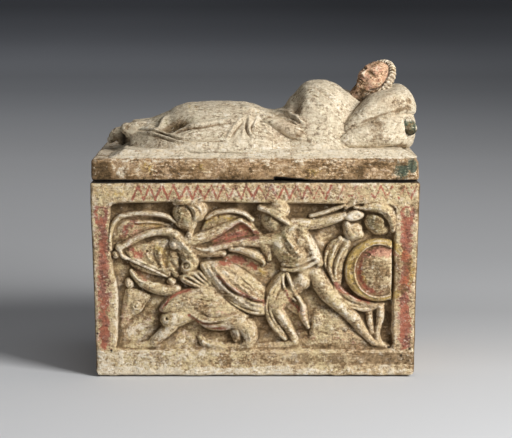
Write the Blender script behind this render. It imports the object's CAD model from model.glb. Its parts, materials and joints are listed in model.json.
import json
import math

import bpy
import numpy as np
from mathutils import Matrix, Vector


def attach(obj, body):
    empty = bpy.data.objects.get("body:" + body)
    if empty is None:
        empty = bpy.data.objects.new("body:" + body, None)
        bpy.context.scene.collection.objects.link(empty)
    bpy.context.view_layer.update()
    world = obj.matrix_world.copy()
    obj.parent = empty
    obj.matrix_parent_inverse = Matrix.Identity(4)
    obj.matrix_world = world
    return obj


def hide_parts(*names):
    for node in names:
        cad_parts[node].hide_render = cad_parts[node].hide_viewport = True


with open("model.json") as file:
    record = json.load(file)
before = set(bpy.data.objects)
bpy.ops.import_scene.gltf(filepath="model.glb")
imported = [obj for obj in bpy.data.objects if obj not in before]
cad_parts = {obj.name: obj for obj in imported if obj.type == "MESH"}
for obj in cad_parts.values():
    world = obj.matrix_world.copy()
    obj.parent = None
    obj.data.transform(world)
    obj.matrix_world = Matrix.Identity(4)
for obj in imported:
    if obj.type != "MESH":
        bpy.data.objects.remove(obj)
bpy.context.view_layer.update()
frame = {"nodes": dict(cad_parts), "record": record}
nodes = frame["nodes"]
mm = 0.001
print("frame loaded:", len(nodes), "nodes")


# Chest front: places in thousandths of the field (u along, v up), widths and heights in millimetres

chest = {
    "rimWidth": 340.0, "footWidth": 331.0, "height": 203.5, "plinthHeight": 26.0, "bandHeight": 24.8,
    "fieldWidth": 294.0, "recess": 12.0, "fieldY": -82.5, "cellsAlong": 488, "cellsUp": 292, "block": 4,
    "softness": 1.7, "fillBelow": 2.0, "wear": 3.4, "lowest": -8.0, "edge": -0.8, "sunk": -1.5,
    "reliefDepth": 3.0, "frameEdge": -2.0, "frameSunk": -2.5, "panel": 14.0, "wallStep": 2.4,
    "wornFoot": 5.0, "wornRim": 3.0, "wornReach": 16.0, "ledge": 9.5, "ledgeFade": 5.2,
}
fieldHeight = chest["height"] - chest["plinthHeight"] - chest["bandHeight"]


def clipped(values, low=0):
    # values held between low and 1
    return np.clip(values, low, 1)


def bell(q, power=2):
    # exponential of minus q to a power: 1 in the middle, falling to 0 on both sides
    return np.exp(-q ** power)


def halfWidthAt(z):
    # straight line from half the foot's width to half the rim's
    return 0.5 * (chest["footWidth"] + (chest["rimWidth"] - chest["footWidth"]) * z / chest["height"])


def frontGrid():
    # even steps along and up; outside the field the steps stretch with the sides, which lean outwards
    along = np.linspace(-chest["rimWidth"] / 2, chest["rimWidth"] / 2, chest["cellsAlong"] + 1)
    a, z = np.meshgrid(along, np.linspace(0, chest["height"], chest["cellsUp"] + 1))
    inner, outer = chest["fieldWidth"] / 2, chest["rimWidth"] / 2
    share = clipped((np.abs(a) - inner) / (outer - inner))
    return np.where(share > 0, np.sign(a) * (inner + share * (halfWidthAt(z) - inner)), a), z


gridX, gridZ = frontGrid()
stepX, stepZ = chest["rimWidth"] / chest["cellsAlong"], chest["height"] / chest["cellsUp"]


def pairs(values, count=2):
    # a flat run of numbers as rows of two or more
    return np.reshape(np.array(values, float), (-1, count))


def atField(values, count=2):
    # rows whose first two numbers are thousandths of the field, to millimetres
    rows = pairs(values, count)
    rows[:, 0] = (rows[:, 0] / 1000 - 0.5) * chest["fieldWidth"]
    rows[:, 1] = chest["plinthHeight"] + rows[:, 1] / 1000 * fieldHeight
    return rows


def smoothRows(rows, per=5, closed=False):
    # cubic through every row, with the tangent at a row set by its two neighbours
    rows = np.array(rows, float)
    if len(rows) < 3 and not closed:
        t = np.linspace(0, 1, per + 1)[:, None]
        return rows[0] * (1 - t) + rows[1] * t
    ends = [rows[-1:], rows[:2]] if closed else [2 * rows[:1] - rows[1:2], 2 * rows[-1:] - rows[-2:-1]]
    known = np.vstack([ends[0], rows, ends[1]])
    t = np.linspace(0, 1, per, endpoint=False)[:, None]
    a, b, c, d = (known[k:len(known) - 3 + k, None] for k in range(4))
    bend, twist = 2 * a - 5 * b + 4 * c - d, 3 * b - a - 3 * c + d
    curve = (0.5 * (2 * b + (c - a) * t + bend * t ** 2 + twist * t ** 3)).reshape(-1, rows.shape[1])
    return curve if closed else np.vstack([curve, rows[-1:]])


def window(rows, margin):
    # part of the grid that holds all rows, with a margin
    x0, z0 = rows[:, :2].min(axis=0) - margin - 3
    x1, z1 = rows[:, :2].max(axis=0) + margin + 3
    left, along, up = chest["rimWidth"] / 2, chest["cellsAlong"], chest["cellsUp"]
    i0, i1 = np.clip([(x0 + left) / stepX, (x1 + left) / stepX + 1], (0, 1), (along, along + 1)).astype(int)
    j0, j1 = np.clip([z0 / stepZ, z1 / stepZ + 1], (0, 1), (up, up + 1)).astype(int)
    return slice(j0, j1), slice(i0, i1)


def nearSegment(x, z, p, q):
    # distance to a segment, and how far along it the nearest point lies
    dx, dz = q[0] - p[0], q[1] - p[1]
    t = clipped(((x - p[0]) * dx + (z - p[1]) * dz) / max(dx * dx + dz * dz, 1e-9))
    return np.hypot(x - p[0] - t * dx, z - p[1] - t * dz), t


def domed(q, height, power):
    # height times (1 - q squared) to a power inside, falling steadily outside
    dome = height * clipped(1 - q * q) ** power
    return np.maximum(np.where(q < 1, dome, -6.0 * (q - 1)), chest["lowest"])


def limb(values, power=0.6):
    # a dome over the distance from a smooth curve; each row is place, half width and height
    out = np.full(gridX.shape, chest["lowest"])
    rows = smoothRows(atField(values, 4))
    for p, q in zip(rows[:-1], rows[1:]):
        win = window(np.array([p, q]), max(p[2], q[2]) * 1.9)
        d, t = nearSegment(gridX[win], gridZ[win], p, q)
        half, height = p[2] + (q[2] - p[2]) * t, p[3] + (q[3] - p[3]) * t
        out[win] = np.maximum(out[win], domed(d / half, height, power))
    return out


def mound(u, v, rx, rz, height, turn=0, power=0.6):
    # a dome over the distance from a place, counted in half axes, with a turn in degrees
    place = atField((u, v))
    out = np.full(gridX.shape, chest["lowest"])
    win = window(place, max(rx, rz) * 1.9)
    c, s = np.cos(np.radians(turn)), np.sin(np.radians(turn))
    dx, dz = gridX[win] - place[0, 0], gridZ[win] - place[0, 1]
    out[win] = domed(np.hypot((dx * c + dz * s) / rx, (dz * c - dx * s) / rz), height, power)
    return out


def outlineDepth(outline, win):
    # distance inside a closed outline, negative outside
    x, z = gridX[win], gridZ[win]
    nearest, inside = np.full(x.shape, 1e9), np.zeros(x.shape, bool)
    for p, q in zip(outline, np.roll(outline, -1, axis=0)):
        nearest = np.minimum(nearest, nearSegment(x, z, p, q)[0])
        slope = (q[0] - p[0]) / (q[1] - p[1] if abs(q[1] - p[1]) > 1e-9 else 1e-9)
        inside ^= ((p[1] > z) != (q[1] > z)) & (x < p[0] + (z - p[1]) * slope)
    return np.where(inside, nearest, -nearest)


def sheet(height, edge, tiltX, tiltZ, crown, *places):
    # inside an outline: height, slopes and a crown by depth, times a quarter circle at the edge
    out = np.full(gridX.shape, chest["lowest"])
    outline = smoothRows(atField(places), 4, closed=True)
    win = window(outline, 6)
    depth = outlineDepth(outline, win)
    dome = np.sqrt(clipped(1 - (1 - clipped(depth / edge)) ** 2))
    middle = outline.mean(axis=0)
    slope = tiltX * (gridX[win] - middle[0]) / 30 + tiltZ * (gridZ[win] - middle[1]) / 30
    value = (height + slope + crown * clipped(depth / 14)) * dome
    out[win] = np.maximum(np.where(depth > 0, value, depth * 1.6), chest["lowest"])
    return out


def crease(rows, width):
    # a bell curve across a smooth line, weaker at both ends; a third column sets its strength
    out = np.zeros(gridX.shape)
    if rows.shape[1] == 2:
        strength = np.ones(len(rows))
        strength[[0, -1]] = 0.35
        rows = np.column_stack([rows, strength])
    rows = smoothRows(rows)
    for p, q in zip(rows[:-1], rows[1:]):
        win = window(np.array([p, q]), width * 2.6)
        d, t = nearSegment(gridX[win], gridZ[win], p, q)
        out[win] = np.maximum(out[win], (p[2] + (q[2] - p[2]) * t) * bell(d / width))
    return out


def pleats(places, count, width):
    # creases spread evenly between two guide curves, the first and the second half of the places
    half = len(places) // 2
    curves = [smoothRows(atField(part), 6) for part in (places[:half], places[half:])]
    t = np.linspace(0, 1, 24)
    a, b = (np.column_stack([np.interp(t, np.linspace(0, 1, len(curve)), curve[:, k]) for k in (0, 1)])
            for curve in curves)
    return np.maximum.reduce([crease((a * (1 - share) + b * share)[::3], width)
                              for share in np.linspace(0, 1, count)])


def softMax(layers, softness):
    # logarithm of the sum of exponentials: the larger value, with a fillet where two are alike
    top = np.maximum.reduce(layers)
    return top + softness * np.log(sum(np.exp((layer - top) / softness) for layer in layers))


def blurred(values, times=1):
    # weights 1, 2, 1 along and up, repeated
    for _ in range(times):
        padded = np.pad(values, 1, mode="edge")
        values = 0.25 * padded[:-2, 1:-1] + 0.5 * padded[1:-1, 1:-1] + 0.25 * padded[2:, 1:-1]
        padded = np.pad(values, 1, mode="edge")
        values = 0.25 * padded[1:-1, :-2] + 0.5 * padded[1:-1, 1:-1] + 0.25 * padded[1:-1, 2:]
    return values


noiseTable = np.random.default_rng(11).random((64, 64, 64))


def clayNoise(x, y, z, size, seed=0):
    # value noise: random values on a lattice, eased between its corners; from -1 to 1
    p = np.stack([x, y, z]) / size + seed * 7.31
    cell = np.floor(p).astype(int)
    f = p - cell
    f = f * f * (3 - 2 * f)
    value = 0
    for i, j, k in np.ndindex(2, 2, 2):
        weight = (f[0] if i else 1 - f[0]) * (f[1] if j else 1 - f[1]) * (f[2] if k else 1 - f[2])
        value = value + weight * noiseTable[(cell[0] + i) % 64, (cell[1] + j) % 64, (cell[2] + k) % 64]
    return 2 * value - 1


def lumps(points, *layers):
    # sum of noises on points; each layer is amount, size and seed
    x, y, z = np.moveaxis(points, -1, 0)
    return sum(amount * clayNoise(x, y, z, size, seed) for amount, size, seed in layers)


def frontLumps(*layers, depth=0.0):
    # the same on the front grid
    return lumps(np.stack([gridX, gridZ, 0 * gridX + depth], axis=-1), *layers)


def reliefForm(spec):
    # one figure's part: the soft top of its forms, plus ridges, less grooves and pits, all bell curves
    layers = [limb(values, spec.get("power", 0.6)) for values in spec.get("limbs", [])]
    layers += [mound(*values) for values in spec.get("mounds", [])]
    layers += [sheet(*values) for values in spec.get("sheets", [])]
    form = softMax(layers, spec.get("softness", 1.2)) if len(layers) > 1 else layers[0]
    form = blurred(form)
    hold = clipped((form + 0.5) / 3)
    for key, sign in (("ridges", 1), ("grooves", -1)):
        for width, height, *places in spec.get(key, []):
            form = form + sign * height * crease(atField(places), width) * hold
    for count, width, height, *places in spec.get("pleats", []):
        form = form + height * pleats(places, count, width) * hold
    for u, v, radius, depth in spec.get("pits", []):
        form = form - depth * bell(fromPlace(u, v) / radius, 4)
    for u, v, radius, height in spec.get("rings", []):
        r = fromPlace(u, v) / radius
        form = form + height * (bell((r - 0.95) / 0.3) + 0.8 * bell(r / 0.4)
                                - 0.5 * bell((r - 0.55) / 0.2)) * hold
    return form


def fromPlace(u, v):
    # distance of every grid point from a place
    x, z = atField((u, v))[0]
    return np.hypot(gridX - x, gridZ - z)


# A plain face of common proportions, in millimetres from its middle: kind, width, height, then points
faceLines = (("ridges", 1.3, 0.66, -5.5,3.2, -2.5,4.3, 0,3.6, 2.8,4.3, 6,3.2),
             ("ridges", 1.35, 1.58, 0,3.6, 0,0.5, 0,-2.2),
             ("ridges", 0.9, 0.66, -1.6,-2.6, 0,-2.4, 1.6,-2.6),
             ("ridges", 0.8, 0.66, -2.6,-5.6, 0,-5.3, 2.6,-5.6),
             ("ridges", 0.9, 0.66, -2.2,-7.4, 0,-7.7, 2.2,-7.4),
             ("ridges", 2.2, 0.79, -1.2,-11, 0,-11.3, 1.2,-11),
             ("ridges", 0.9, 0.59, -4.9,1.2, -3.4,1.5, -2.1,1),
             ("ridges", 0.9, 0.59, 2.1,1, 3.4,1.5, 4.9,1.2),
             ("grooves", 0.7, 0.59, -5,2.4, -3.3,2.7, -1.9,2.1),
             ("grooves", 0.7, 0.59, 1.9,2.1, 3.3,2.7, 5,2.4),
             ("grooves", 0.5, 0.59, -3,-6.4, 0,-6.5, 3,-6.4))


def withFace(spec, u, v, lean, side, size):
    # adds the face's lines to a head; lean tilts its long axis, side shifts it towards where it looks
    c, s = np.cos(np.radians(lean)) * size, np.sin(np.radians(lean)) * size
    for kind, width, height, *points in faceLines:
        dx, dz = (pairs(points) + (side, 0)).T
        across, up = 1000 * (dx * c + dz * s) / chest["fieldWidth"], 1000 * (dz * c - dx * s) / fieldHeight
        spec[kind] = spec[kind] + [(width, height, *np.column_stack([u + across, v + up]).ravel())]
    return spec


# Relief, piece by piece. Limbs are rows of place, half width and height; mounds are place, radii, height,
# turn and power; sheets are height, edge, two slopes, crown and an outline; ridges and
# grooves are width, height and places; pits and rings are place, radius and depth or height
reliefSpecs = {}
reliefSpecs["left_cloak"] = {
    "limbs": [(-10,700,3,13, -8,800,3.2,13.5, 0,870,3.4,13, 22,918,3.4,12.5, 50,935,3.4,12, 100,946,3.6,12,
        150,942,3.4,12, 190,925,3.2,12, 215,895,3,12, 236,862,2.6,12)],
    "sheets": [(6, 3, -1.5, 0, 0, -4,700, -2,860, 30,910, 100,935, 170,930, 230,860, 210,810, 100,780,
        40,720), (6.5, 4, 1.2, 0, 0, 45,700, 100,740, 190,780, 215,720, 210,600, 200,500, 140,520, 75,560,
        50,620)],
    "ridges": [(1.1, 1.8, 30,855, 70,880, 120,886, 170,878, 212,855), (1.3, 1.2, 20,800, 45,845, 80,862),
        (2.6, 3, 190,760, 166,690, 168,610, 190,530), (1.8, 1.8, 115,735, 118,670, 140,610, 165,565),
        (1.6, 1.4, 75,720, 75,660, 100,620), (1.6, 3, 45,695, 62,650, 100,612, 140,578, 165,556),
        (1.8, 1.4, 100,550, 130,530, 170,500)],
    "grooves": [(1.7, 3.2, 12,800, 16,860, 45,900, 100,908, 150,906, 190,892, 222,862), (0.9, 1.4, 60,860,
        110,872, 160,868), (1.5, 1.8, 145,720, 142,660, 158,600), (1.3, 1.5, 95,710, 100,660)],
    "pits": [(118,685, 1.5, 3), (50,690, 1.3, 2.5), (6,755, 1.2, 2)],
}
reliefSpecs["raised_cloak"] = {
    "limbs": [(330,915,3,11, 360,947,3.2,12, 400,960,3.2,12.5, 430,960,3.2,12.5, 462,942,3.2,12,
        490,900,3,10), (445,902,2.6,10, 472,872,2.8,9, 492,830,3,8)],
    "sheets": [(5.5, 3, 0, 1.5, 0, 310,840, 330,910, 380,945, 440,945, 485,900, 510,830, 540,790, 450,760,
        360,740, 310,770), (3.5, 3, 0, 0, 0, 375,660, 460,680, 500,620, 530,560, 510,510, 460,560,
        400,620)],
    "ridges": [(1.5, 1, 350,885, 400,915, 440,922)],
    "grooves": [(3.6, 3, 360,757, 400,800, 440,852, 465,838, 492,800), (5, 2.5, 430,800, 460,810),
        (1.2, 1.4, 345,925, 400,944, 450,930, 478,900)],
}
reliefSpecs["billowing_drape"] = {
    "sheets": [(10, 6, 0, 0, 6, 302,610, 305,560, 325,500, 360,420, 400,345, 435,290, 475,252, 530,238,
        543,300, 542,380, 530,450, 503,500, 470,545, 435,590, 390,622, 340,628)],
    "pleats": [(6, 1.7, 1.6, 315,590, 345,480, 395,375, 450,295, 500,262, 535,262, 400,605, 450,565,
        490,500, 515,450, 530,420, 538,400)],
    "ridges": [(1.7, 2, 310,575, 338,485, 385,385, 440,305, 495,262, 530,260), (2, 1.6, 360,595, 375,520,
        415,450, 465,395, 520,370)],
    "grooves": [(1.6, 3.4, 365,545, 378,500, 405,445, 445,395, 490,352, 525,338), (0.9, 2.2, 438,530,
        460,490, 485,450, 500,420), (1, 1.6, 322,555, 350,465, 400,370, 450,305, 505,275),
        (0.9, 1.2, 345,590, 355,530, 380,470, 420,410, 470,355), (0.9, 1.2, 400,560, 420,510, 455,460,
        490,420)],
}
reliefSpecs["rock_mound"] = {
    "sheets": [(5.5, 6, 0, 0.5, 0, 690,100, 698,200, 712,262, 745,290, 790,272, 830,190, 870,100, 910,40,
        850,30, 750,20, 690,30)],
    "mounds": [(722,200, 8, 13, 8, 0, 0.7), (780,200, 14, 11, 6.5, -20, 0.8), (860,80, 12, 5, 6, 0, 0.7)],
    "ridges": [(1.6, 1, 705,240, 710,180, 705,130), (1.6, 1, 750,160, 790,140), (1.2, 1.2, 840,110, 870,80,
        900,60)],
    "grooves": [(2, 1.8, 720,140, 745,120, 770,100), (2, 1.6, 800,160, 830,100), (1.6, 0.8, 735,250,
        745,200)],
}
reliefSpecs["right_cloak"] = {
    "sheets": [(8, 4, -0.5, 0, 0, 800,785, 840,755, 830,680, 815,600, 810,500, 800,440, 775,450, 755,530,
        738,600, 742,680, 762,745)],
    "limbs": [(800,770,3.6,10, 778,705,3.6,10.5, 763,620,3.4,10.5, 764,555,3.2,10.5, 776,490,3.2,10),
        (828,750,3.6,11, 810,695,3.4,11, 790,620,3,10.5, 783,555,2.8,10, 786,490,2.6,9.5)],
    "ridges": [(1.3, 1.4, 748,700, 745,630, 750,570), (0.8, 1.2, 790,730, 773,660, 772,590),
        (0.8, 1, 815,730, 797,660, 790,590)],
    "grooves": [(1, 2.4, 812,755, 793,690, 776,610, 774,550), (0.7, 1.2, 790,715, 775,650),
        (0.9, 1.4, 762,700, 753,630, 755,570)],
    "softness": 0.8,
}
reliefSpecs["right_lower_cloak"] = {
    "sheets": [(9.5, 5, 0, 0, 0, 776,500, 800,450, 840,390, 900,345, 960,330, 950,295, 905,262, 865,270,
        820,308, 788,360, 772,420)],
    "ridges": [(1.4, 1.6, 778,430, 793,365, 825,315, 870,278, 905,272), (1.2, 1.5, 785,480, 810,420,
        850,365, 900,335)],
    "grooves": [(1.4, 2.4, 782,450, 803,390, 840,338, 890,310), (1, 1.4, 840,315, 870,300, 910,300)],
}
reliefSpecs["left_tunic"] = {
    "sheets": [(11.5, 5, 0, 0, 3, 270,435, 220,405, 185,355, 158,285, 175,255, 215,262, 255,255, 285,215,
        310,165, 340,138, 400,135, 440,170, 480,230, 470,270, 420,340, 370,420, 320,450)],
    "mounds": [(290,330, 24, 13, 15, -18, 0.7)],
    "ridges": [(1.5, 1.6, 272,432, 222,400, 187,350, 162,285), (1.5, 2, 250,292, 272,255, 305,218, 340,208,
        380,218, 420,245, 450,262), (1.6, 1.2, 300,290, 350,265, 400,270, 440,285), (1.8, 1, 240,350,
        300,330, 360,325, 400,320), (1.6, 0.9, 250,400, 300,385, 360,375), (2, 0.8, 215,330, 250,300),
        (1.3, 1, 305,185, 350,175, 400,185, 440,205)],
    "grooves": [(1.2, 2, 262,255, 285,222, 315,192, 355,192, 400,210, 440,235), (1.1, 1.3, 285,300,
        330,245, 370,238, 420,262), (1.2, 0.9, 270,370, 330,352, 380,345), (1, 1.2, 310,160, 350,155,
        400,162), (1, 1.2, 255,415, 215,375, 186,325, 172,285)],
    "pits": [(270,345, 1.6, 0.8), (310,360, 1.4, 0.8)],
}
reliefSpecs["left_torso"] = {
    "limbs": [(222,785,8,15, 245,730,10,15, 265,670,11,15, 272,610,10,14, 262,560,10,12.5),
        (285,690,9,12.5, 335,685,7.5,11.5, 385,675,5,9.5), (215,660,7,10.5, 215,580,7,9.5, 225,530,6,8.5),
        (270,790,5.5,12, 275,840,5,11)],
    "sheets": [(10.5, 4, 0, 0, 0, 235,530, 300,565, 335,520, 365,440, 400,360, 345,410, 285,430, 240,470)],
    "mounds": [(216,735, 6.5, 7.5, 15.5, 0, 0.6)],
    "ridges": [(2.6, 3, 225,790, 247,750, 268,700, 284,650, 302,600), (1, 1.8, 246,500, 270,475, 302,448),
        (1, 1.8, 262,523, 285,495, 315,455), (1, 1.6, 283,540, 303,505, 330,462), (1, 1.5, 303,552,
        320,510, 347,455), (1.2, 1, 205,690, 235,680, 258,655), (1.2, 1, 205,655, 232,645, 250,630)],
    "grooves": [(1.2, 1.2, 238,785, 258,742, 278,705), (0.8, 1.6, 255,510, 278,485, 308,450),
        (0.8, 1.6, 273,530, 294,500, 323,457), (0.8, 1.5, 294,545, 312,508, 339,457), (2.2, 2.6, 200,630,
        213,590, 232,545, 250,530)],
    "rings": [(216,737, 4.6, 0.7), (259,592, 5, 1.7), (266,795, 3.2, 1.2)],
    "pits": [(259,592, 1.3, 1.2)],
}
reliefSpecs["left_front_leg"] = {
    "limbs": [(275,265,10,13, 225,232,11.5,15.5, 192,215,9.5,15.5), (205,200,10,14.5, 190,150,8.2,12,
        165,100,6.8,10.5, 138,55,6,9.5), (142,48,5.5,9, 105,30,4.8,8, 65,22,4,7, 42,20,3,6)],
    "ridges": [(1.6, 0.9, 168,260, 178,210, 190,180), (1.3, 1, 188,175, 165,130, 135,95), (1, 0.9, 45,35,
        65,40)],
    "grooves": [(1.6, 1.2, 200,185, 225,175, 245,190), (0.6, 0.9, 55,30, 60,12), (0.6, 0.9, 68,33, 73,12),
        (1, 0.8, 120,60, 100,45)],
    "pits": [(187,228, 1.35, 4.5)],
}
reliefSpecs["left_kneeling_leg"] = {
    "limbs": [(380,215,9,13, 430,200,10,14.5, 465,165,11,15, 480,105,9.5,14.5, 475,55,8,12.5),
        (470,40,6.5,11, 420,22,5.2,9, 360,34,4.8,8.5, 315,55,5,8), (315,60,4.5,7.5, 305,90,3.4,6.5),
        (430,140,7,11, 435,80,6,9)],
    "ridges": [(1.4, 1.5, 310,58, 350,42, 400,16), (2, 1.4, 420,190, 440,120, 455,60), (1.8, 1.2, 490,190,
        498,120, 495,60), (1.8, 1, 400,225, 425,235, 450,232)],
    "grooves": [(1.6, 1, 455,180, 468,120, 472,70), (1.4, 1.4, 410,170, 425,100, 445,45),
        (0.8, 0.8, 325,90, 330,60)],
}
reliefSpecs["left_low_arm"] = {
    "limbs": [(62,545,2.8,8, 78,505,4,9.5, 105,462,5.6,11, 145,432,6.8,12, 185,415,6.4,12,
        225,425,5.4,11)],
    "mounds": [(55,462, 5, 6.4, 10.5, 20, 0.55), (205,475, 6, 5, 9, 0, 0.6)],
    "ridges": [(1.3, 1.6, 66,540, 85,497, 115,472, 150,463, 175,470), (0.9, 0.9, 47,487, 52,460, 45,435),
        (0.9, 0.9, 62,490, 67,460, 60,432)],
    "grooves": [(1.1, 1.8, 75,452, 85,430, 110,412), (0.6, 1, 55,487, 59,460, 53,435)],
    "rings": [(187,432, 3.4, 1)],
}
reliefSpecs["tunic_flap"] = {
    "sheets": [(5.5, 9, 2, 2, 0, 45,430, 100,415, 132,375, 112,315, 98,270, 60,220, 35,150, 18,170,
        28,310)],
    "mounds": [(80,310, 8, 9, 7.5, 0, 0.7)],
    "ridges": [(1.8, 1.3, 52,420, 52,350, 40,270), (1.5, 1.5, 128,372, 112,318, 90,262, 58,218),
        (1.5, 1, 90,400, 85,360)],
    "rings": [(80,308, 3.9, 1)],
    "pits": [(75,300, 1.2, 1.2)],
}
reliefSpecs["sword"] = {
    "limbs": [(35,652,2.6,8.5, 65,625,2.4,9.5, 100,592,2.3,9.5, 145,552,2.1,9.5, 190,508,1.5,8.5)],
    "ridges": [(0.6, 0.8, 50,632, 100,585, 150,542, 185,508)],
    "power": 0.5,
}
reliefSpecs["left_sword_arm"] = {
    "limbs": [(222,800,6.2,14.5, 190,822,5.2,13.5, 130,808,4.6,12.5, 80,772,4.7,12.5, 45,735,4.9,13,
        20,712,5.2,14), (22,700,3.6,13, 30,660,3.2,12, 45,635,2.6,10)],
    "mounds": [(8,664, 4.6, 5.2, 12.5, 0, 0.55)],
    "ridges": [(1.5, 1.2, 60,790, 110,825, 170,842, 210,840), (0.8, 0.7, 12,735, 30,700), (0.8, 0.7, 4,725,
        20,692)],
    "rings": [(8,664, 3.6, 0.9)],
}
reliefSpecs["left_raised_arm"] = {
    "limbs": [(262,745,8,13.5, 300,772,7.2,14, 345,800,6.4,13.5, 385,840,5.4,12.5, 420,876,4.2,11.5,
        450,900,3.2,10.5)],
    "ridges": [(1.4, 1.5, 292,800, 345,838, 395,878, 440,905), (1.2, 1, 305,735, 350,765, 400,825,
        440,870)],
    "grooves": [(1.1, 0.8, 320,765, 360,800, 410,855)],
}
reliefSpecs["left_head"] = withFace({
    "mounds": [(254,925, 13.5, 17.5, 16.5, 22, 0.5), (292,968, 13, 13.5, 18, 0, 0.5),
        (272,868, 8, 7, 12, 20, 0.55), (245,1030, 12, 5.5, 16.5, 8, 0.5)],
    "ridges": [(1.2, 1.5, 262,1010, 285,985, 292,945, 288,900), (1.3, 1.3, 275,1020, 305,995, 315,950,
        305,905), (1.2, 1, 292,1020, 322,985, 330,945), (1.2, 1.2, 215,1030, 240,1042, 270,1040)],
    "grooves": [(1.3, 2.4, 225,1005, 250,1000, 270,975, 280,935, 277,890), (0.9, 1.2, 283,1005, 303,972,
        303,925), (0.9, 1, 300,1010, 320,975, 320,930)],
    "softness": 2,
}, 247, 925, 20, -2.5, 0.95)
reliefSpecs["cloak_fall"] = {
    "limbs": [(600,530,5,12, 575,455,7.5,13.5, 557,385,8.5,14, 549,310,6.5,12.5, 553,230,4.6,10.5,
        572,155,4,9.5, 605,80,3.4,8.5)],
    "sheets": [(6.5, 4, 0, 0, 0, 600,530, 545,400, 535,300, 540,200, 565,120, 605,60, 625,90, 595,200,
        590,300, 600,380, 615,450)],
    "ridges": [(1.3, 1.8, 585,500, 552,420, 538,340, 537,260, 552,180, 590,90), (1.2, 1.8, 550,285,
        566,215, 592,140, 612,95), (2.2, 1, 575,440, 570,370, 568,330)],
    "grooves": [(1, 1.6, 545,360, 545,290, 558,210, 585,130), (1, 1, 595,485, 570,440, 555,370)],
    "pits": [(565,410, 1.2, 0.9), (578,390, 1, 0.8)],
}
reliefSpecs["hero_leading_leg"] = {
    "limbs": [(665,505,9,14.5, 635,430,10,13, 595,370,10.5,14, 572,315,10,14.5), (572,300,8.6,14,
        592,225,7.2,12.5, 618,145,6.2,11.5, 638,75,5.4,10.5), (640,60,5.2,9.5, 600,38,4.6,8.5,
        550,30,4.2,7.5, 505,26,3.6,6.5)],
    "mounds": [(667,488, 10, 11, 16.5, 0, 0.55)],
    "ridges": [(1.6, 1.4, 585,270, 605,205, 630,130, 645,80)],
    "grooves": [(1.2, 1.2, 565,275, 575,215, 600,140, 622,85)],
}
reliefSpecs["hero_trailing_leg"] = {
    "limbs": [(712,535,9.5,14, 733,465,10.5,15, 757,395,9.6,15, 787,335,8.6,14, 822,275,8.6,13.5,
        853,215,7.6,12.5, 878,150,6.2,11, 903,90,4.8,10, 925,55,4.6,9), (920,55,4.6,9, 950,38,4.4,8.5,
        972,28,3.4,7.5)],
    "mounds": [(720,505, 9.5, 12, 15, 20, 0.6)],
    "ridges": [(1.8, 1.4, 748,550, 765,470, 782,400, 805,345, 838,300, 862,250, 885,170, 905,110)],
    "grooves": [(1.4, 0.7, 800,315, 825,290, 845,290), (1.3, 0.9, 790,270, 820,200, 860,120)],
}
reliefSpecs["strap_tassel"] = {
    "limbs": [(612,535,3.2,14.5, 625,475,3.4,14.5, 634,420,3.4,14, 652,368,3.2,13, 666,320,3,12),
        (597,515,2.4,13, 600,455,2.6,13, 616,395,2.6,12, 642,350,2.4,10.5), (668,305,4.4,12.5,
        668,265,5.4,13.5, 675,215,4.4,11.5, 688,160,2.6,9)],
    "sheets": [(4.5, 2.5, 0, 0, 0, 620,360, 650,345, 668,300, 665,240, 630,260, 605,310)],
    "grooves": [(0.9, 2, 607,510, 612,455, 625,400, 647,356), (0.7, 1.6, 655,285, 668,272, 682,282),
        (0.7, 1.4, 657,255, 670,245, 684,256), (0.7, 1.2, 672,230, 680,180)],
    "ridges": [(1, 1.2, 655,300, 668,292, 680,300)],
    "softness": 0.7,
}
reliefSpecs["hero_torso"] = {
    "limbs": [(625,845,11,15.5, 622,780,16,15.5, 632,700,17,15.5, 655,640,15,15, 675,585,14,13.5),
        (665,830,8,15.5, 685,745,8,14.5, 708,665,7.5,14, 725,610,6.5,12.5)],
    "mounds": [(588,725, 10.5, 13, 16.2, -12, 0.6), (660,765, 9, 12, 17, -8, 0.6),
        (600,655, 8, 9, 13, 0, 0.6)],
    "ridges": [(1.7, 2.2, 600,805, 618,765, 635,720, 650,670), (2, 1.2, 675,800, 692,740, 712,680)],
    "grooves": [(1.5, 1.6, 632,800, 645,755, 658,700), (1.6, 1.6, 588,775, 603,730, 620,685, 640,645),
        (2, 1.6, 565,680, 600,675, 630,655), (1.3, 1.2, 610,630, 640,635, 665,650)],
    "pits": [(655,790, 1.2, 0.8)],
}
reliefSpecs["hero_waist_roll"] = {
    "limbs": [(598,598,3.2,13, 635,598,3.8,15.5, 672,622,3.8,16.5, 706,655,3.2,16), (598,565,3.4,12.5,
        640,563,3.8,14.5, 680,585,3.8,15.5, 722,628,3.2,14.5)],
    "grooves": [(0.9, 2.4, 600,582, 640,581, 675,603, 700,632)],
    "ridges": [(0.7, 1.4, 625,575, 660,585, 690,612)],
    "softness": 0.7,
}
reliefSpecs["hero_near_arm"] = {
    "limbs": [(575,775,8.5,14.5, 530,757,7.2,13.5, 475,748,6.2,13, 420,735,5.2,12.5, 375,718,4.6,13,
        345,700,5,13.5), (350,700,4.2,13, 318,700,3.2,13.8, 295,712,2.2,13.5), (535,720,7,11.5,
        545,670,5,10, 548,635,3.5,9)],
    "ridges": [(1.4, 1.3, 360,745, 420,762, 480,782, 540,798), (1.2, 1.4, 548,660, 545,620, 535,585),
        (1, 1.2, 556,660, 556,630, 548,600)],
    "grooves": [(1, 1.2, 400,712, 430,722, 465,722), (0.7, 0.9, 310,690, 335,694), (0.6, 0.8, 305,703,
        332,708)],
    "pits": [(515,745, 1.6, 0.9)],
}
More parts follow.
